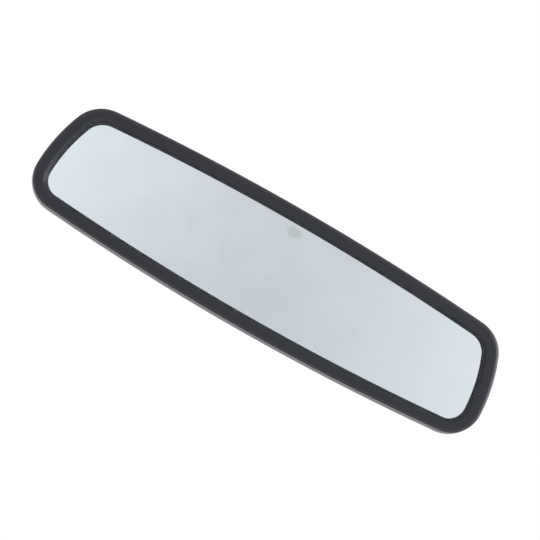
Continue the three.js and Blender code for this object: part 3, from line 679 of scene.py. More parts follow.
def mirror_plate():
    """The silvered rear glass, whose front face has the glare window as faces of its own."""
    vertices, faces = skin(eased_rings(OPENING, -GLASS_OVERLAP, REAR_GLASS, GROUND_EDGE), "open")
    rim = outline(OPENING, GROUND_EDGE - GLASS_OVERLAP)
    window = oval(GLARE_SENSOR_AT, GLARE_WINDOW)
    n = len(rim)
    back_face = tuple(range(3 * n, 4 * n))
    window_face = tuple(range(len(vertices), len(vertices) + len(window)))
    vertices += at_depth(window, REAR_GLASS[0])
    lookup = [*range(n), *window_face]
    loops = [[Vector((x, z, 0)) for x, z, _ in rim], [Vector((x, z, 0)) for x, z in window]]
    front_faces = [tuple(lookup[i] for i in triangle) for triangle in tessellate_polygon(loops)]
    return mesh_object("mirror_plate", vertices, [*faces, back_face, *front_faces, window_face], smooth=0)


def colour_window(plate):
    centre = in_head(GLARE_SENSOR_AT[0], REAR_GLASS[0], GLARE_SENSOR_AT[1])

    def in_window(middle, _):
        near = (Vector(middle.xz) - Vector(centre.xz)).length < 0.2 * MM
        return near and abs(middle.y - centre.y) < 0.01 * MM

    paint(plate, glare_window_layer().material, in_window)


def edge_seal():
    y0, y1 = CELL_GAP
    middle = (y0 + y1) / 2
    section = [(SEAL_OUTER, y0), (SEAL_INNER, y0), (SEAL_INNER + 0.1, middle)]
    section += [(SEAL_INNER, y1), (SEAL_OUTER, y1)]
    return loft("seal_bead", [ring(OPENING, inset, y) for inset, y in section], "joined")


stand_for(glass_plate("front_plate", FRONT_GLASS), "front_glass")
colour_window(stand_for(mirror_plate(), "rear_mirror_glass"))
stand_for(edge_seal(), "edge_seal")

# ---------- dimming cell's small parts

CLIP_THICKNESS = 0.35
CLIP_WEB_GAP = 0.2  # from the glass's edge to the clip
CLIP_FINGER = (CELL_GAP[0] + 0.05, CELL_GAP[1] - 0.05)
CLIP_FLANGE = (REAR_GLASS[1] + 0.15, REAR_GLASS[1] + 0.15 + CLIP_THICKNESS)
CLIP_HALF_LENGTH = 92
CLIP_REACH = 3.1  # of the flange over the glass, from the glass's edge
CLIP_STEPS = 48
WIRE_X = -30
WIRE_RADIUS = 0.5
WIRE_PATH = ((CLIP_FLANGE[1] + 0.6, 27), (7.6, 27.2), (9.5, 25.8), (9.8, 21.5), (9.7, 16.5))  # y, z
PIPE_HOLE = (3.9, 2.9)  # radii of the oval hole that the light pipe passes through
FOAM_STEPS = 10
FOAM_INSET = 1.5  # of the pad's flat faces from the opening's outline
FOAM_BULGE = 0.4


def gel_layer():
    rings = [ring(OPENING, SEAL_INNER + GEL_GAP, y) for y in CELL_GAP]
    return loft("gel_layer", rings, smooth=0)


def bus_strip(name, long_arc, middle):
    """A C-shaped strip along one long edge of the glass, with bends of about its thickness."""
    centre, radius, _, _ = long_arc
    edge = radius + GLASS_OVERLAP
    web = edge + CLIP_WEB_GAP
    outside = web + CLIP_THICKNESS
    section = [
        (outside - 0.25, CLIP_FLANGE[1]), (edge - CLIP_REACH + 0.1, CLIP_FLANGE[1]),
        (edge - CLIP_REACH, CLIP_FLANGE[1] - 0.1), (edge - CLIP_REACH, CLIP_FLANGE[0]),
        (web - 0.12, CLIP_FLANGE[0]), (web, CLIP_FLANGE[0] - 0.12), (web, CLIP_FINGER[1] + 0.03),
        (web - 0.03, CLIP_FINGER[1]), (edge - 0.25, CLIP_FINGER[1]), (edge - 0.25, CLIP_FINGER[0]),
        (outside - 0.2, CLIP_FINGER[0]), (outside - 0.06, CLIP_FINGER[0] + 0.06),
        (outside, CLIP_FINGER[0] + 0.2), (outside, CLIP_FLANGE[1] - 0.25),
        (outside - 0.07, CLIP_FLANGE[1] - 0.07),
    ]
    rings = []
    for i in range(CLIP_STEPS + 1):
        angle = middle + (2 * i / CLIP_STEPS - 1) * CLIP_HALF_LENGTH / radius
        rings.append([
            (centre.x + r * math.cos(angle), y, centre.y + r * math.sin(angle)) for r, y in section
        ])
    return loft(name, rings, smooth=40)


def spline(points, steps=8):
    """A smooth path through the points."""
    ends = [points[0], *points, points[-1]]
    path = []
    for a, b, c, d in zip(ends, ends[1:], ends[2:], ends[3:]):
        a, b, c, d = Vector(a), Vector(b), Vector(c), Vector(d)
        for i in range(steps):
            t = i / steps
            path.append(0.5 * (2 * b + (c - a) * t + (2 * a - 5 * b + 4 * c - d) * t ** 2
                               + (3 * b - a - 3 * c + d) * t ** 3))
    return [*path, Vector(points[-1])]


def clip_lead(name, upward):
    path = spline([(WIRE_X, y, upward * z) for y, z in WIRE_PATH])
    return sweep(name, path, WIRE_RADIUS)


def foam_cushion():
    """A closed-cell pad, pressed flat between the glass and the carrier, bulging at its edge."""
    rings = []
    y0, y1 = FOAM
    for i in range(FOAM_STEPS + 1):
        lift = i / FOAM_STEPS
        bulge = math.sin(math.pi * lift) ** 0.6
        rings.append(ring(OPENING, FOAM_INSET - FOAM_BULGE * bulge, y0 + (y1 - y0) * lift))
    pad = loft("foam_cushion", rings)
    combine(pad, cut=[prism("foam_hole", oval(GLARE_SENSOR_AT, PIPE_HOLE), (y0 - 1, y1 + 1))])
    return pad


stand_for(gel_layer(), "electrochromic_gel")
for side_name, upward, long_arc in (
    ("upper", 1, right_arcs(OPENING)[-1]),
    ("lower", -1, right_arcs(OPENING)[0]),
):
    strip = bus_strip(f"{side_name}_bus_strip", long_arc, upward * math.pi / 2)
    stand_for(strip, f"{side_name}_bus_clip")
    stand_for(clip_lead(f"{side_name}_clip_lead", upward), f"{side_name}_clip_wire")
stand_for(foam_cushion(), "foam_pad")

# ---------- carrier and circuit board

CARRIER = (6.5, 8.2)
CARRIER_INSET = 2.8
CARRIER_POCKET = 7.9
BOSS_END = 9.6
BOARD = (10.5, 12.1)
BOARD_SIZE = (132, 36)
BOARD_POST_RADIUS = 3
CARRIER_BOSS_RADIUS = 4.2
RIB_WIDTH = 1.4
TONGUE_SIZE = (22, 15)
SCREW_HEAD = 2.5
SCREW_HOLE = 1.6
SCREW_CIRCLE = 10.4
STUD_SCREWS = [
    (SCREW_CIRCLE * math.cos(math.radians(a)), SCREW_CIRCLE * math.sin(math.radians(a)))
    for a in (90, 210, 330)
]
CARRIER_SCREWS = [(-88, 13), (88, 13), (-88, -13), (88, -13)]
BOARD_SCREWS = [(-61, 0), (61, 0)]
FLANGE = (FLANGE_SEAT - 3.2, FLANGE_SEAT - 0.2)


def carrier():
    """The plate behind the glass, ribbed, with posts for the board and bosses for the shell."""
    y0, y1 = CARRIER
    plate = loft("carrier_moulding", eased_rings(HEAD, CARRIER_INSET, CARRIER, 0.3))
    added = []
    for side in (-1, 1):
        for x in (76, 100):
            added.append(bar("cross_rib", (side * x, -2), (RIB_WIDTH, 40), (y1 - 0.3, y1 + 1.3)))
        added.append(bar("long_rib", (0, side * 21.5), (208, RIB_WIDTH), (y1 - 0.3, y1 + 0.8)))
    added += bored_each("board_post", BOARD_POST_RADIUS, (y1 - 0.5, BOARD[0] - 0.1), BOARD_SCREWS)
    added += bored_each("screw_boss", CARRIER_BOSS_RADIUS, (y1 - 0.5, BOSS_END), CARRIER_SCREWS)
    cuts = bored_each("head_pocket", SCREW_HEAD + 0.5, (y0 - 1, CARRIER_POCKET), CARRIER_SCREWS)
    cuts += bored_each("boss_hole", SCREW_HOLE, (CARRIER_POCKET - 1, BOSS_END + 1), CARRIER_SCREWS)
    cuts += bored_each("post_hole", SCREW_HOLE, (y0 + 0.6, BOARD[0] + 1), BOARD_SCREWS)
    cuts.append(prism("pipe_hole", oval(GLARE_SENSOR_AT, PIPE_HOLE), (y0 - 1, y1 + 3)))
    cuts += [bar("wire_notch", (WIRE_X, side * 28.5), (3, 7), (y0 - 1, 12)) for side in (-1, 1)]
    return combine(plate, joined=added, cut=cuts)


def board():
    """The board with a tongue that holds the glare sensor up behind its window."""
    main = bar("board_panel", (0, 0), BOARD_SIZE, BOARD, 1.5, 6, 0)
    tongue_middle = (GLARE_SENSOR_AT[0], BOARD_SIZE[1] / 2)
    tongue = bar("tongue", tongue_middle, TONGUE_SIZE, BOARD, 1, 6, 0)
    holes = bored_each("board_hole", SCREW_HOLE, (BOARD[0] - 1, BOARD[1] + 1), BOARD_SCREWS)
    return combine(main, joined=[tongue], cut=holes, smooth=30)


stand_for(carrier(), "carrier_plate")
stand_for(board(), "circuit_board")

# ---------- electronics

BEHIND_BOARD = BOARD[1] + 0.05
FRONT_OF_BOARD = BOARD[0] - 0.05
LENS_RADIUS = 3.4
LENS_SHOULDER = 25.1
LENS_DOME = 1.4
LENS_STEPS = 12
CAN_HEIGHT = 6
CAN_BASE = 6.6
CAN_BASE_HEIGHT = 1.2


def light_pipe():
    return prism("glare_pipe", oval(GLARE_SENSOR_AT, (3.4, 2.4)), (REAR_GLASS[1] + 0.1, 8.9), 0.2)


def sensor_package(name, at, size, span, face):
    """A small package with an oval recess in the end, at y = face, that looks out."""
    package = bar(name, at, size, span, 0.25, 6, 0.15)
    window = oval(at, (size[0] * 0.3, size[1] * 0.3))
    return combine(package, cut=[prism(f"{name}_window", window, (face - 0.2, face + 0.2))])


def ambient_pipe():
    """The domed end shows in the shell's back; the tapered rod leads down to the sensor."""
    profile = [(0, 14), (2.4, 14), (2.6, 14.2), (LENS_RADIUS, 23.5), (LENS_RADIUS, LENS_SHOULDER)]
    for i in range(1, LENS_STEPS + 1):
        turn = math.pi / 2 * i / LENS_STEPS
        profile.append((LENS_RADIUS * math.cos(turn), LENS_SHOULDER + LENS_DOME * math.sin(turn)))
    return lathe("ambient_pipe", profile, centre=AMBIENT_SENSOR_AT)


def gull_wing_leads(name, at, depth, middle, leads, pitch):
    """Bent strips along a package's two long sides, from its waist down to the board."""
    x, z = at
    side = depth / 2
    path = [(side - 0.4, middle - 0.1), (side + 0.3, middle - 0.1)]
    path += [(side + 0.45, BEHIND_BOARD), (side + 1, BEHIND_BOARD)]
    path += [(reach, y + 0.18) for reach, y in reversed(path)]
    legs = []
    for i in range(leads):
        lead_x = x + pitch * (i + 0.5 - leads / 2)
        for end in (-1, 1):
            rings = [
                [(lead_x + half, y, z + end * reach) for reach, y in path] for half in (-0.25, 0.25)
            ]
            legs.append(loft(name, rings, smooth=0))
    return legs


def chip(name, at, size, thickness, leads):
    """A moulded package with drafted sides, a pin-one dimple and gull-wing leads."""
    width, depth = size
    base = BEHIND_BOARD + 0.2
    middle, top = base + thickness * 0.4, BEHIND_BOARD + thickness
    draft = ((0.2, base), (0, middle), (0.2, top - 0.05), (0.28, top))
    sections = [(width - shrink, depth - shrink, y) for shrink, y in draft]
    body = tapered(name, at, sections, 0.2, 3, smooth=20)
    dimple_profile = [(0, top - 0.12), (0.4, top - 0.12), (0.45, top + 1), (0, top + 1)]
    dimple_at = (at[0] - width * 0.33, at[1] + depth * 0.3)
    dimple = lathe(f"{name}_dimple", dimple_profile, centre=dimple_at, sides=24)
    legs = gull_wing_leads(f"{name}_lead", at, depth, middle, leads, width / leads)
    return combine(body, joined=legs, cut=[dimple])


def silver_leads(package, reach_from, at):
    """Faces beyond the package's sides are its leads."""
    centre = in_head(0, 0, at[1])
    paint(package, MATERIALS["can_metal"], lambda face, _: abs(face.z - centre.z) > reach_from * MM)


def electrolytic(name, at):
    """An aluminium can with a scored top, crimped over a square base."""
    foot = BEHIND_BOARD
    top = foot + CAN_HEIGHT
    base = bar(f"{name}_base", at, (CAN_BASE, CAN_BASE), (foot, foot + CAN_BASE_HEIGHT), 0.9, 4, 0.15)
    crimp = [(0, 0.9), (2.9, 0.9), (3.1, 1.3), (3.1, 1.9), (2.85, 2.15), (2.85, 2.35), (3.1, 2.6)]
    shoulder = [(3.1, 0.5), (2.95, 0.15), (2.6, 0), (2.3, 0), (2.2, 0.1), (0, 0.1)]
    profile = [(r, foot + up) for r, up in crimp] + [(r, top - down) for r, down in shoulder]
    can = lathe(f"{name}_can", profile, centre=at, sides=64)
    scores = [
        bar(f"{name}_score", at, size, (top - 0.2, top + 1), 0.1, 2, 0) for size in ((3.4, 0.3), (0.3, 3.4))
    ]
    combine(can, joined=[base], cut=scores)
    can.name = name
    return can


def blacken_base(can):
    back = in_head(0, BEHIND_BOARD + CAN_BASE_HEIGHT + 0.01, 0).y
    paint(can, MATERIALS["chip_plastic"], lambda face, _: face.y < back)


SCREW_PITCH = 0.7
HEADER_OUTER = (15, 9)
HEADER_CAVITY = (12.6, 6.6)
HEADER_FLOOR = 15.2
HEADER_BACK = 25
PIN_PITCH = 3.6
PIN_TIP = 19.4


def socket_header():
    x, z = CONNECTOR_AT
    header = bar("socket_header", CONNECTOR_AT, HEADER_OUTER, (BEHIND_BOARD, HEADER_BACK), 0.8, 5, 0.25)
    cavity = rounded_rectangle(CONNECTOR_AT, HEADER_CAVITY, 0.4, 4)
    mouth = rounded_rectangle(CONNECTOR_AT, [side + 0.8 for side in HEADER_CAVITY], 0.7, 4)
    ends = ((cavity, HEADER_FLOOR), (cavity, HEADER_BACK - 0.4), (mouth, HEADER_BACK + 0.4))
    cuts = [loft("header_cavity", [at_depth(points, y) for points, y in ends])]
    key_middle = (x, z + HEADER_CAVITY[1] / 2)
    cuts.append(bar("header_key", key_middle, (3, 1.4), (HEADER_FLOOR + 3, HEADER_BACK + 1), 0.2, 2, 0))
    hole_span = (BEHIND_BOARD - 1, HEADER_FLOOR + 1)
    for k in (-1, 0, 1):
        cuts.append(bar("header_hole", (x + k * PIN_PITCH, z), (1.6, 1.6), hole_span, 0.2, 2, 0))
    return combine(header, cut=cuts)


def header_pin(number):
    at = (CONNECTOR_AT[0] + (number - 2) * PIN_PITCH, CONNECTOR_AT[1])
    foot = BEHIND_BOARD + 0.1
    widths = ((0.7, foot), (0.9, foot + 0.2), (0.9, PIN_TIP - 0.9), (0.45, PIN_TIP))
    sections = [(side, side, y) for side, y in widths]
    return tapered(f"header_pin_{number}", at, sections, 0.08, smooth=25)


def screw(name, at, head_face, length, towards):
    """A pan-head screw along Y with a cross recess; towards is +1 where its tip has higher y."""
    along = [(0, 0), (1.5, 0), (2.1, 0.12), (2.4, 0.4), (2.5, 0.75), (2.45, 1.0), (2.3, 1.1), (1.2, 1.1)]
    for k in range(int((length - 1.9) / SCREW_PITCH)):
        root = 1.3 + k * SCREW_PITCH
        along += [(0.95, root), (1.2, root + 0.3), (1.2, root + 0.38), (0.95, root + 0.66)]
    along += [(0.9, length - 0.4), (0.4, length), (0, length)]
    profile = [(r, head_face + towards * offset) for r, offset in along]
    made = lathe(name, profile, centre=at, sides=36, smooth=25)
    recesses = []
    for wide, high in ((0.62, 2.7), (2.7, 0.62)):
        sections = [
            (max(wide * share, 0.45), max(high * share, 0.45), head_face + towards * offset)
            for share, offset in ((1.25, -0.3), (0.55, 0.62))
        ]
        recesses.append(tapered(f"{name}_recess", at, sections, 0.15))
    return combine(made, cut=recesses, smooth=25)


stand_for(light_pipe(), "glare_light_pipe")
glare_span = (FRONT_OF_BOARD - 1.3, FRONT_OF_BOARD)
glare_diode = sensor_package("glare_diode", GLARE_SENSOR_AT, (4.4, 3.4), glare_span, glare_span[0])
stand_for(glare_diode, "glare_sensor")
ambient_span = (BEHIND_BOARD, BEHIND_BOARD + 1.4)
ambient_diode = sensor_package("ambient_diode", AMBIENT_SENSOR_AT, (4, 4), ambient_span, ambient_span[1])
stand_for(ambient_diode, "ambient_sensor")
stand_for(ambient_pipe(), "ambient_lens")
for chip_name, node, at, size, thickness, leads in (
    ("controller_chip", "microcontroller", (-12, -4), (8, 7), 1.5, 5),
    ("drive_chip", "drive_transistor", (-27, -10), (6, 6), 2.3, 3),
):
    package = stand_for(chip(chip_name, at, size, thickness, leads), node)
    silver_leads(package, size[1] / 2 + 0.02, at)
for i, x in enumerate((20, 28), 1):
    blacken_base(stand_for(electrolytic(f"electrolytic_{i}", (x, -11)), f"capacitor_{i}"))
stand_for(socket_header(), "connector_header")
for i in (1, 2, 3):
    stand_for(header_pin(i), f"connector_pin_{i}")
for fixing, node, places, head_face, length, towards in (
    ("board_fixing", "board_screw", BOARD_SCREWS, BOARD[1] + 1.2, 5, -1),
    ("carrier_fixing", "carrier_screw", CARRIER_SCREWS, CARRIER[0] + 0.25, 10, 1),
    ("flange_fixing", "stud_screw", STUD_SCREWS, FLANGE[0] - 1.2, 7.2, 1),
):
    for i, at in enumerate(places, 1):
        stand_for(screw(f"{fixing}_{i}", at, head_face, length, towards), f"{node}_{i}")

# ---------- rear shell


def crown(inset, back, steps=40):
    """Rings of the crowned back, from the straight wall to the ridge."""
    rim = outline(HEAD, inset)
    rings = []
    for i in range(steps + 1):
        turn = math.pi / 2 * i / steps
        s = 1 - math.cos(turn) ** (2 / SHELL_FULLNESS)
        rise = math.sin(turn) ** (2 / SHELL_FULLNESS)
        y = SHELL_WALL_END + (back - SHELL_WALL_END) * rise
        rings.append([
            (x + (share * SPINE_HALF - x) * s, y, z * (1 - s)) for x, z, share in rim
        ])
    return rings


def shell_cup():
    """An even wall, with a tongue at the rim that fits inside the bezel's wall."""
    inner = crown(SHELL_WALL + 0.5, SHELL_BACK - SHELL_WALL)
    rim = [(4.3, 10.6), (4.3, 8.7), (4.1, 8.5), (2.9, 8.5), (2.7, 8.7), (2.7, SHELL_RIM)]
    rim += [(0.75, SHELL_RIM), (0.55, 9.65), (0.45, 9.85), (0.38, 10.6)]
    rings = inner[::-1] + [ring(HEAD, inset, y) for inset, y in rim] + crown(0.3, SHELL_BACK)
    return loft("shell_moulding", rings, "open", smooth=40)


BOSS_RADIUS = 15
BOSS_FILLET = 4.5
NECK_HOLE = 8
NECK_HOLE_RISE = 1.2
HOLE_LIP = 0.8
POST_RADIUS = 3.4
POST_SPAN = (9.9, 23)


def shell_boss():
    """The raised seat round the ball stud, flowing into the crowned back."""
    front = 22
    foot = (BOSS_RADIUS + 0.4 + BOSS_FILLET, BOSS_BACK - 1.6)
    profile = [(0, front), (foot[0] + 2, front), (foot[0] + 2, front + 0.9)]
    profile += arc(foot, BOSS_FILLET, -180, -90, 12)
    profile += arc((BOSS_RADIUS - HOLE_LIP, BOSS_BACK - HOLE_LIP), HOLE_LIP, 80, 0, 6)
    profile.append((0, BOSS_BACK))
    return lathe("shell_boss", profile, sides=128)


def neck_opening():
    """A hole with a rounded lip, larger than the stud's neck."""
    outside = NECK_HOLE + HOLE_LIP
    profile = [(0, FLANGE_SEAT - 1), (NECK_HOLE, FLANGE_SEAT - 1)]
    profile += arc((outside, BOSS_BACK - HOLE_LIP), HOLE_LIP, -90, 0, 8)
    profile += [(outside, BOSS_BACK + 1), (0, BOSS_BACK + 1)]
    return lathe("neck_opening", profile, centre=(0, NECK_HOLE_RISE), sides=96)


def rear_shell():
    posts = bored_each("shell_post", POST_RADIUS, POST_SPAN, CARRIER_SCREWS)
    through_back = (18, SHELL_BACK + 2)
    cuts = [bored("flange_seat", BOSS_RADIUS, (FLANGE_SEAT - 6, FLANGE_SEAT), (0, 0), 128), neck_opening()]
    cuts += bored_each("stud_hole", SCREW_HOLE, (FLANGE_SEAT - 1, BOSS_BACK - 1), STUD_SCREWS)
    cuts += bored_each("post_hole", SCREW_HOLE, (POST_SPAN[0] - 1, 18), CARRIER_SCREWS)
    cuts.append(bored("lens_hole", LENS_RADIUS + 0.4, through_back, AMBIENT_SENSOR_AT, 64))
    port = [side + 0.8 for side in HEADER_OUTER]
    cuts.append(bar("connector_port", CONNECTOR_AT, port, through_back, 1.2, 6, 0))
    return combine(shell_cup(), joined=[*posts, shell_boss()], cut=cuts, smooth=32)


stand_for(rear_shell(), "rear_shell")

# ---------- ball studs

HEAD_STUD_RISE = math.radians(4)
BRACKET_STUD_RISE = math.radians(28)
HEAD_STUD_LENGTH = (LOWER_BALL - HEAD_ORIGIN).y / MM - FLANGE[1]
BRACKET_STUD_LENGTH = 14.5
STUD_FOOT = 5.2
BRACKET_FACE = -9.5
BRACKET_FOOT_Y = -1
SPIGOT_RADIUS = 3.6
SPIGOT = (-13.1, -7.65)  # its ends, along the bracket's Z
FLANGE_RADIUS = 14


def turned_along(origin, angle):
    """A frame at origin, in metres, turned about X."""
    return Matrix.Translation(origin) @ Matrix.Rotation(angle, 4, "X")


def ball_and_neck(name, length, place):
    """A ball at the frame's origin on a neck that runs to -Y and flares at its foot."""
    neck_angle = 180 - math.degrees(math.asin((NECK_RADIUS + 0.15) / BALL_RADIUS))
    flare = STUD_FOOT - NECK_RADIUS
    profile = arc((0, 0), BALL_RADIUS, 0, neck_angle, 40)
    profile[0] = (0, BALL_RADIUS)
    profile.append((NECK_RADIUS, profile[-1][1] - 0.35))
    profile += arc((NECK_RADIUS + flare, -length + 1.2 + flare), flare, -90, -165, 8)
    profile += [(STUD_FOOT, -length + 1), (STUD_FOOT, -length), (0, -length)]
    return lathe(name, profile, place)


def head_stud():
    y0, y1 = FLANGE
    edge = 0.4
    profile = [(0, y0), (FLANGE_RADIUS - edge, y0), (FLANGE_RADIUS, y0 + edge)]
    profile += [(FLANGE_RADIUS, y1 - edge), (FLANGE_RADIUS - edge, y1), (0, y1)]
    flange = lathe("head_stud", profile)
    length = HEAD_STUD_LENGTH / math.cos(HEAD_STUD_RISE) + 1.2
    ball = ball_and_neck("head_ball", length, turned_along(LOWER_BALL, HEAD_STUD_RISE))
    holes = bored_each("flange_hole", SCREW_HOLE, (y0 - 1, y1 + 1), STUD_SCREWS)
    return combine(flange, joined=[ball], cut=holes)


def upright(y):
    """The bracket's frame with +Y along its own Z, through a point at y on its slope."""
    return BRACKET_PLACE @ turned_along((0, y * MM, 0), math.pi / 2)


def bracket_stud():
    leaning = turned_along(UPPER_BALL, math.pi + BRACKET_STUD_RISE)
    stud = ball_and_neck("bracket_stud", BRACKET_STUD_LENGTH + 1, leaning)
    above = rounded_rectangle((0, BRACKET_FACE + 9.9), (24, 20), 0.5, 1)
    combine(stud, cut=[prism("above_face", above, (-12, 12), place=BRACKET_PLACE)])
    y0, y1 = SPIGOT
    edge = 0.2
    profile = [(0, y0), (SPIGOT_RADIUS - edge, y0), (SPIGOT_RADIUS, y0 + edge)]
    profile += [(SPIGOT_RADIUS, y1 - 0.25), (SPIGOT_RADIUS - 0.25, y1), (0, y1)]
    return combine(stud, joined=[lathe("spigot", profile, upright(BRACKET_FOOT_Y), sides=64)])


stand_for(head_stud(), "head_ball_stud")
stand_for(bracket_stud(), "bracket_ball_stud")

# ---------- arm

WAIST_FILLET = 4
MOUTH_EDGE = (  # the rolled edge, by radius and degrees past the mouth's angle
    (HOUSING_RADIUS - 0.12, 3.4),
    (HOUSING_RADIUS - 0.45, 1.6),
    (POCKET_RADIUS + 0.5, 0.3),
    (POCKET_RADIUS + 0.1, 0.1),
)
LINER_ANGLES = (66, 99)


def mirrored(profile):
    return [(r, -y) for r, y in reversed(profile)]


def tube():
    """Swaged over a ball at each end, with a bore for the spring and its seats."""
    reach = HOUSING_RADIUS + WAIST_FILLET
    aside = ARM_WAIST + WAIST_FILLET
    drop = math.sqrt(reach * reach - aside * aside)
    meeting = math.degrees(math.atan2(aside, drop))
    ball = (0, ARM_HALF_LENGTH)
    back_angle = 180 - math.degrees(math.asin(ARM_BORE / POCKET_RADIUS))
    half = arc((aside, ARM_HALF_LENGTH - drop), WAIST_FILLET, -90, -meeting, 10)
    half += arc(ball, HOUSING_RADIUS, 180 - meeting, MOUTH_ANGLE + 5, 40)[1:]
    for radius, past_mouth in MOUTH_EDGE:
        half += polar(ball, radius, MOUTH_ANGLE + past_mouth)
    half += arc(ball, POCKET_RADIUS, MOUTH_ANGLE + 1, back_angle, 30)
    return lathe("swaged_tube", half + mirrored(half), ARM_PLACE, closed=True, sides=128, smooth=40)


def placed(profile, outward):
    """A half profile about a ball's centre, put at the arm's end that outward points to."""
    return [(r, outward * (ARM_HALF_LENGTH + y)) for r, y in profile]


def liner(name, outward):
    """A nylon ring round the ball's middle, with its edges taken off."""
    first, last = LINER_ANGLES
    ease = 0.12
    profile = arc((0, 0), LINER_OUTER, first, last, 12)
    profile += polar((0, 0), LINER_OUTER - ease, last + 0.8)
    profile += polar((0, 0), LINER_INNER + ease, last + 0.8)
    profile += arc((0, 0), LINER_INNER, last, first, 12)
    profile += polar((0, 0), LINER_INNER + ease, first - 0.8)
    profile += polar((0, 0), LINER_OUTER - ease, first - 0.8)
    return lathe(name, placed(profile, outward), ARM_PLACE, closed=True)


def seat(name, outward):
    """The cup that the spring pushes against the ball."""
    rim = 180 - math.degrees(math.asin(SEAT_RADIUS / LINER_INNER))
    profile = arc((0, 0), LINER_INNER, rim, 160, 14)
    inner = profile[-1][0]
    nose = -SEAT_BACK - 1.6
    profile += [(inner, nose + 0.2), (inner + 0.15, nose), (inner + 0.45, nose)]
    profile += [(inner + 0.6, nose + 0.2), (inner + 0.6, -SEAT_BACK)]
    profile += [(SEAT_RADIUS - 0.2, -SEAT_BACK), (SEAT_RADIUS, -SEAT_BACK + 0.2)]
    return lathe(name, placed(profile, outward), ARM_PLACE, closed=True)


SPRING_RADIUS = 5.1
SPRING_WIRE = 0.65
SPRING_TURNS = 5
SPRING_HALF = ARM_HALF_LENGTH - SEAT_BACK - SPRING_WIRE - 0.3
END_CLOSING = 0.25  # how much tighter than even the coil's end turns lie


def coil():
    """A compression spring whose end turns close up."""
    path = []
    steps = SPRING_TURNS * 40
    for i in range(steps + 1):
        share = 2 * i / steps - 1
        along = SPRING_HALF * ((1 + END_CLOSING) * share - END_CLOSING * share ** 5)
        turn = math.pi * SPRING_TURNS * share
        path.append((SPRING_RADIUS * math.cos(turn), along, SPRING_RADIUS * math.sin(turn)))
    return sweep("coil", path, SPRING_WIRE, ARM_PLACE)


stand_for(tube(), "arm_tube")
stand_for(coil(), "arm_spring")
for end_name, outward in (("bracket", 1), ("head", -1)):
    stand_for(liner(f"{end_name}_liner", outward), f"{end_name}_ball_liner")
    stand_for(seat(f"{end_name}_seat", outward), f"{end_name}_spring_seat")

# ---------- bracket and button

BUTTON_LENGTH = 22
BUTTON_THICKNESS = 4.5
BUTTON_GLASS_HALF = 6.4
BUTTON_FRONT_HALF = 8.4
BRACKET_HALF_WIDTH = 11.5
BRACKET_SPAN = (-16, 14)
BRACKET_STAND_OFF = 0.6
CHANNEL_CLEARANCE = 0.3
BRACKET_CHAMFER = 3
SET_SCREW_Y = 9.2
SET_SCREW_RADIUS = 2
SET_SCREW_HOLE = 2.4
SPIGOT_HOLE = 4
THREAD_PITCH = 0.5


def rounded(points, radius, steps=5):
    """A convex outline, anticlockwise in x and z, with its corners rounded."""
    made = []
    for i, point in enumerate(points):
        here = Vector(point)
        before = (Vector(points[i - 1]) - here).normalized()
        after = (Vector(points[(i + 1) % len(points)]) - here).normalized()
        half = before.angle(after) / 2
        centre = here + (before + after).normalized() * radius / math.sin(half)
        start = here + before * radius / math.tan(half) - centre
        stop = here + after * radius / math.tan(half) - centre
        turn = start.angle_signed(stop)
        for k in range(steps + 1):
            a = -turn * k / steps
            made.append((
                centre.x + start.x * math.cos(a) - start.y * math.sin(a),
                centre.y + start.x * math.sin(a) + start.y * math.cos(a),
            ))
    return made


def dovetail(clearance, top):
    slope = (BUTTON_FRONT_HALF - BUTTON_GLASS_HALF) / BUTTON_THICKNESS
    floor = BUTTON_THICKNESS + clearance
    near_glass = BUTTON_GLASS_HALF + clearance - slope * top
    at_floor = BUTTON_FRONT_HALF + clearance + slope * clearance
    return [(at_floor, -floor), (near_glass, top), (-near_glass, top), (-at_floor, -floor)]


def bracket():
    w = BRACKET_HALF_WIDTH
    shoulder = BRACKET_FACE + BRACKET_CHAMFER
    outside = [(w, shoulder), (w, -BRACKET_STAND_OFF), (-w, -BRACKET_STAND_OFF), (-w, shoulder)]
    outside += [(-w + BRACKET_CHAMFER, BRACKET_FACE), (w - BRACKET_CHAMFER, BRACKET_FACE)]
    casting = rounded(outside, 0.6)
    body = prism("cast_bracket", casting, BRACKET_SPAN, 0.6, BRACKET_PLACE, smooth=30)
    channel_span = (-BUTTON_LENGTH / 2 - CHANNEL_CLEARANCE, BRACKET_SPAN[1] + 1)
    channel = prism("channel", dovetail(CHANNEL_CLEARANCE, 1), channel_span, place=BRACKET_PLACE)
    rim = 0.4
    below, bottom = BRACKET_FACE - 1, BRACKET_FACE + 6
    profile = [(0, below), (SET_SCREW_HOLE + rim + 1, below), (SET_SCREW_HOLE, BRACKET_FACE + rim)]
    profile += [(SET_SCREW_HOLE, bottom), (0, bottom)]
    hole = lathe("screw_hole", profile, upright(SET_SCREW_Y), sides=64)
    bottom = BRACKET_FACE + 2.2
    profile = [(0, below), (SPIGOT_HOLE, below), (SPIGOT_HOLE, bottom), (0, bottom)]
    shank = lathe("shank_hole", profile, upright(BRACKET_FOOT_Y), sides=64)
    return combine(body, cut=[channel, hole, shank], smooth=30)


def button():
    span = (-BUTTON_LENGTH / 2, BUTTON_LENGTH / 2)
    return prism("metal_button", rounded(dovetail(0, 0), 0.3), span, 0.4, BRACKET_PLACE, smooth=30)


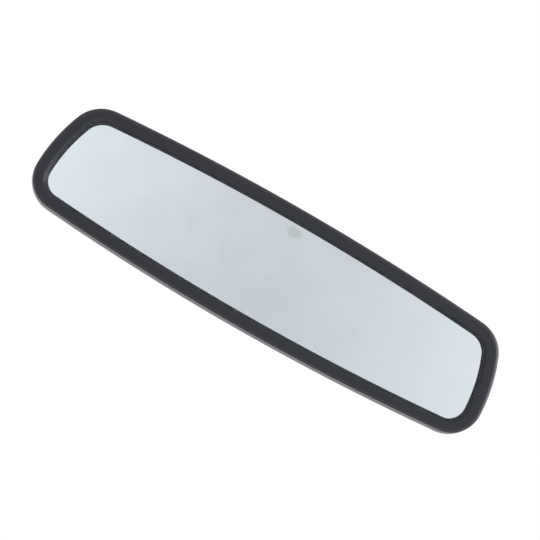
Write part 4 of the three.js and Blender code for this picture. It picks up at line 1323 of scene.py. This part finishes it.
def grub_screw():
    """A set screw with a cup point, a thread and a hexagonal socket."""
    top = -BUTTON_THICKNESS - 0.1
    bottom = BRACKET_FACE - 0.4
    crest = SET_SCREW_RADIUS
    profile = [(0, bottom), (1.6, bottom), (1.8, bottom + 0.2)]
    for k in range(int((top - bottom - 0.8) / THREAD_PITCH)):
        root = bottom + 0.4 + k * THREAD_PITCH
        profile += [(1.78, root), (crest, root + 0.2), (crest, root + 0.28), (1.78, root + 0.48)]
    profile += [(1.75, top - 0.3), (1.2, top), (0.7, top), (0, top - 0.4)]
    body = lathe("grub_screw", profile, upright(SET_SCREW_Y), sides=64, smooth=25)
    hexagon = [(0, -1), (1.25, -1), (1.1, 0.1), (1.1, 2), (0, 2.3)]
    profile = [(r, bottom + up) for r, up in hexagon]
    socket = lathe("hex_socket", profile, upright(SET_SCREW_Y), sides=6, smooth=0)
    return combine(body, cut=[socket], smooth=25)


stand_for(bracket(), "mount_bracket")
stand_for(button(), "windscreen_button")
stand_for(grub_screw(), "set_screw")

# ---------- camera

CAMERA_DISTANCE = 0.7  # in metres
CAMERA_AZIMUTH = math.radians(-2.6)
CAMERA_ELEVATION = math.radians(-4.5)
CAMERA_ROLL = math.radians(29.62)
LENS = 93.9
SHIFT = (-0.0043, -0.0014)


def camera():
    a, e = CAMERA_AZIMUTH, CAMERA_ELEVATION
    back = Vector((math.sin(a) * math.cos(e), -math.cos(a) * math.cos(e), math.sin(e)))
    right = Vector((math.cos(a), math.sin(a), 0))
    up = back.cross(right)
    image_right = right * math.cos(CAMERA_ROLL) + up * math.sin(CAMERA_ROLL)
    image_up = up * math.cos(CAMERA_ROLL) - right * math.sin(CAMERA_ROLL)
    data = bpy.data.cameras.new("camera")
    data.lens = LENS
    data.sensor_width = 36
    data.shift_x, data.shift_y = SHIFT
    data.clip_start = 0.01
    obj = bpy.data.objects.new("camera", data)
    turn = Matrix((image_right, image_up, back)).transposed().to_4x4()
    obj.matrix_world = Matrix.Translation(HEAD_ORIGIN + back * CAMERA_DISTANCE) @ turn
    bpy.context.scene.collection.objects.link(obj)
    bpy.context.scene.camera = obj


# ---------- studio


def soft_light(name, offset, size, power):
    """A square light that faces the head from an offset in metres."""
    data = bpy.data.lights.new(name, "AREA")
    data.size = size
    data.energy = power
    obj = bpy.data.objects.new(name, data)
    obj.location = HEAD_ORIGIN + Vector(offset)
    obj.rotation_mode = "QUATERNION"
    obj.rotation_quaternion = (HEAD_ORIGIN - Vector(obj.location)).to_track_quat("-Z", "Y")
    bpy.context.scene.collection.objects.link(obj)


class World(Nodes):
    """The studio's walls as light, by direction, with a white backdrop for the camera."""

    def __init__(self):
        world = bpy.data.worlds.new("studio")
        bpy.context.scene.world = world
        world.use_nodes = True
        super().__init__(world.node_tree)
        parts = self.node("SeparateXYZ", Vector=self.node("TexCoord").outputs["Generated"])
        self.x, self.y, self.z = parts.outputs

    def math(self, operation, *values):
        node = self.node("Math")
        node.operation = operation
        for socket, value in zip(node.inputs, values):
            self.feed(socket, value)
        return node.outputs[0]


def studio():
    w = World()
    side = w.ranged(w.x, 1.4, 1.6, (-0.8, 0.8))
    low = w.ranged(w.z, 1.35, side, (-1.0, 0.1))
    walls = w.ranged(w.z, low, 1.35, (0.2, 1.0))
    off_centre = w.math("ABSOLUTE", w.math("SUBTRACT", w.x, 0.05))
    ahead = w.ranged(off_centre, 0.78, 1.04, (0.0, 0.24))
    front = w.math("ADD", ahead, w.math("MULTIPLY", w.z, 0.35))
    level = w.ranged(w.math("MULTIPLY", w.y, -1.0), walls, front, (0.80, 0.95))
    seen = w.node("LightPath").outputs["Is Camera Ray"]
    strength = w.ranged(seen, level, 1.0, (0.0, 1.0))
    background = w.node("Background", Color=(1, 1, 1, 1), Strength=strength)
    w.node("OutputWorld", Surface=background.outputs[0])
    soft_light("key", (1.15, -0.1, 0.5), 0.9, 15)
    soft_light("low", (0.0, 0.35, -0.5), 0.8, 0.5)


FLOOR_DROP = 0.55  # in metres
FLOOR_RADIUS = 1.3
FLOOR_SIDES = 128


def floor():
    centre = HEAD_ORIGIN + Vector((0, 0, -FLOOR_DROP))
    edge = oval((0, 0), (FLOOR_RADIUS, FLOOR_RADIUS), FLOOR_SIDES)
    mesh = bpy.data.meshes.new("floor")
    mesh.from_pydata([Vector((x, y, 0)) + centre for x, y in edge], [], [tuple(range(FLOOR_SIDES))])
    obj = bpy.data.objects.new("floor", mesh)
    bpy.context.scene.collection.objects.link(obj)
    s = Shader("floor").set(Roughness=0.9)
    s.colour(s.noise(3), (0.84, 0.84, 0.845), (0.87, 0.87, 0.872))
    mesh.materials.append(s.material)


camera()
studio()
floor()
bpy.context.scene.view_settings.view_transform = "Standard"
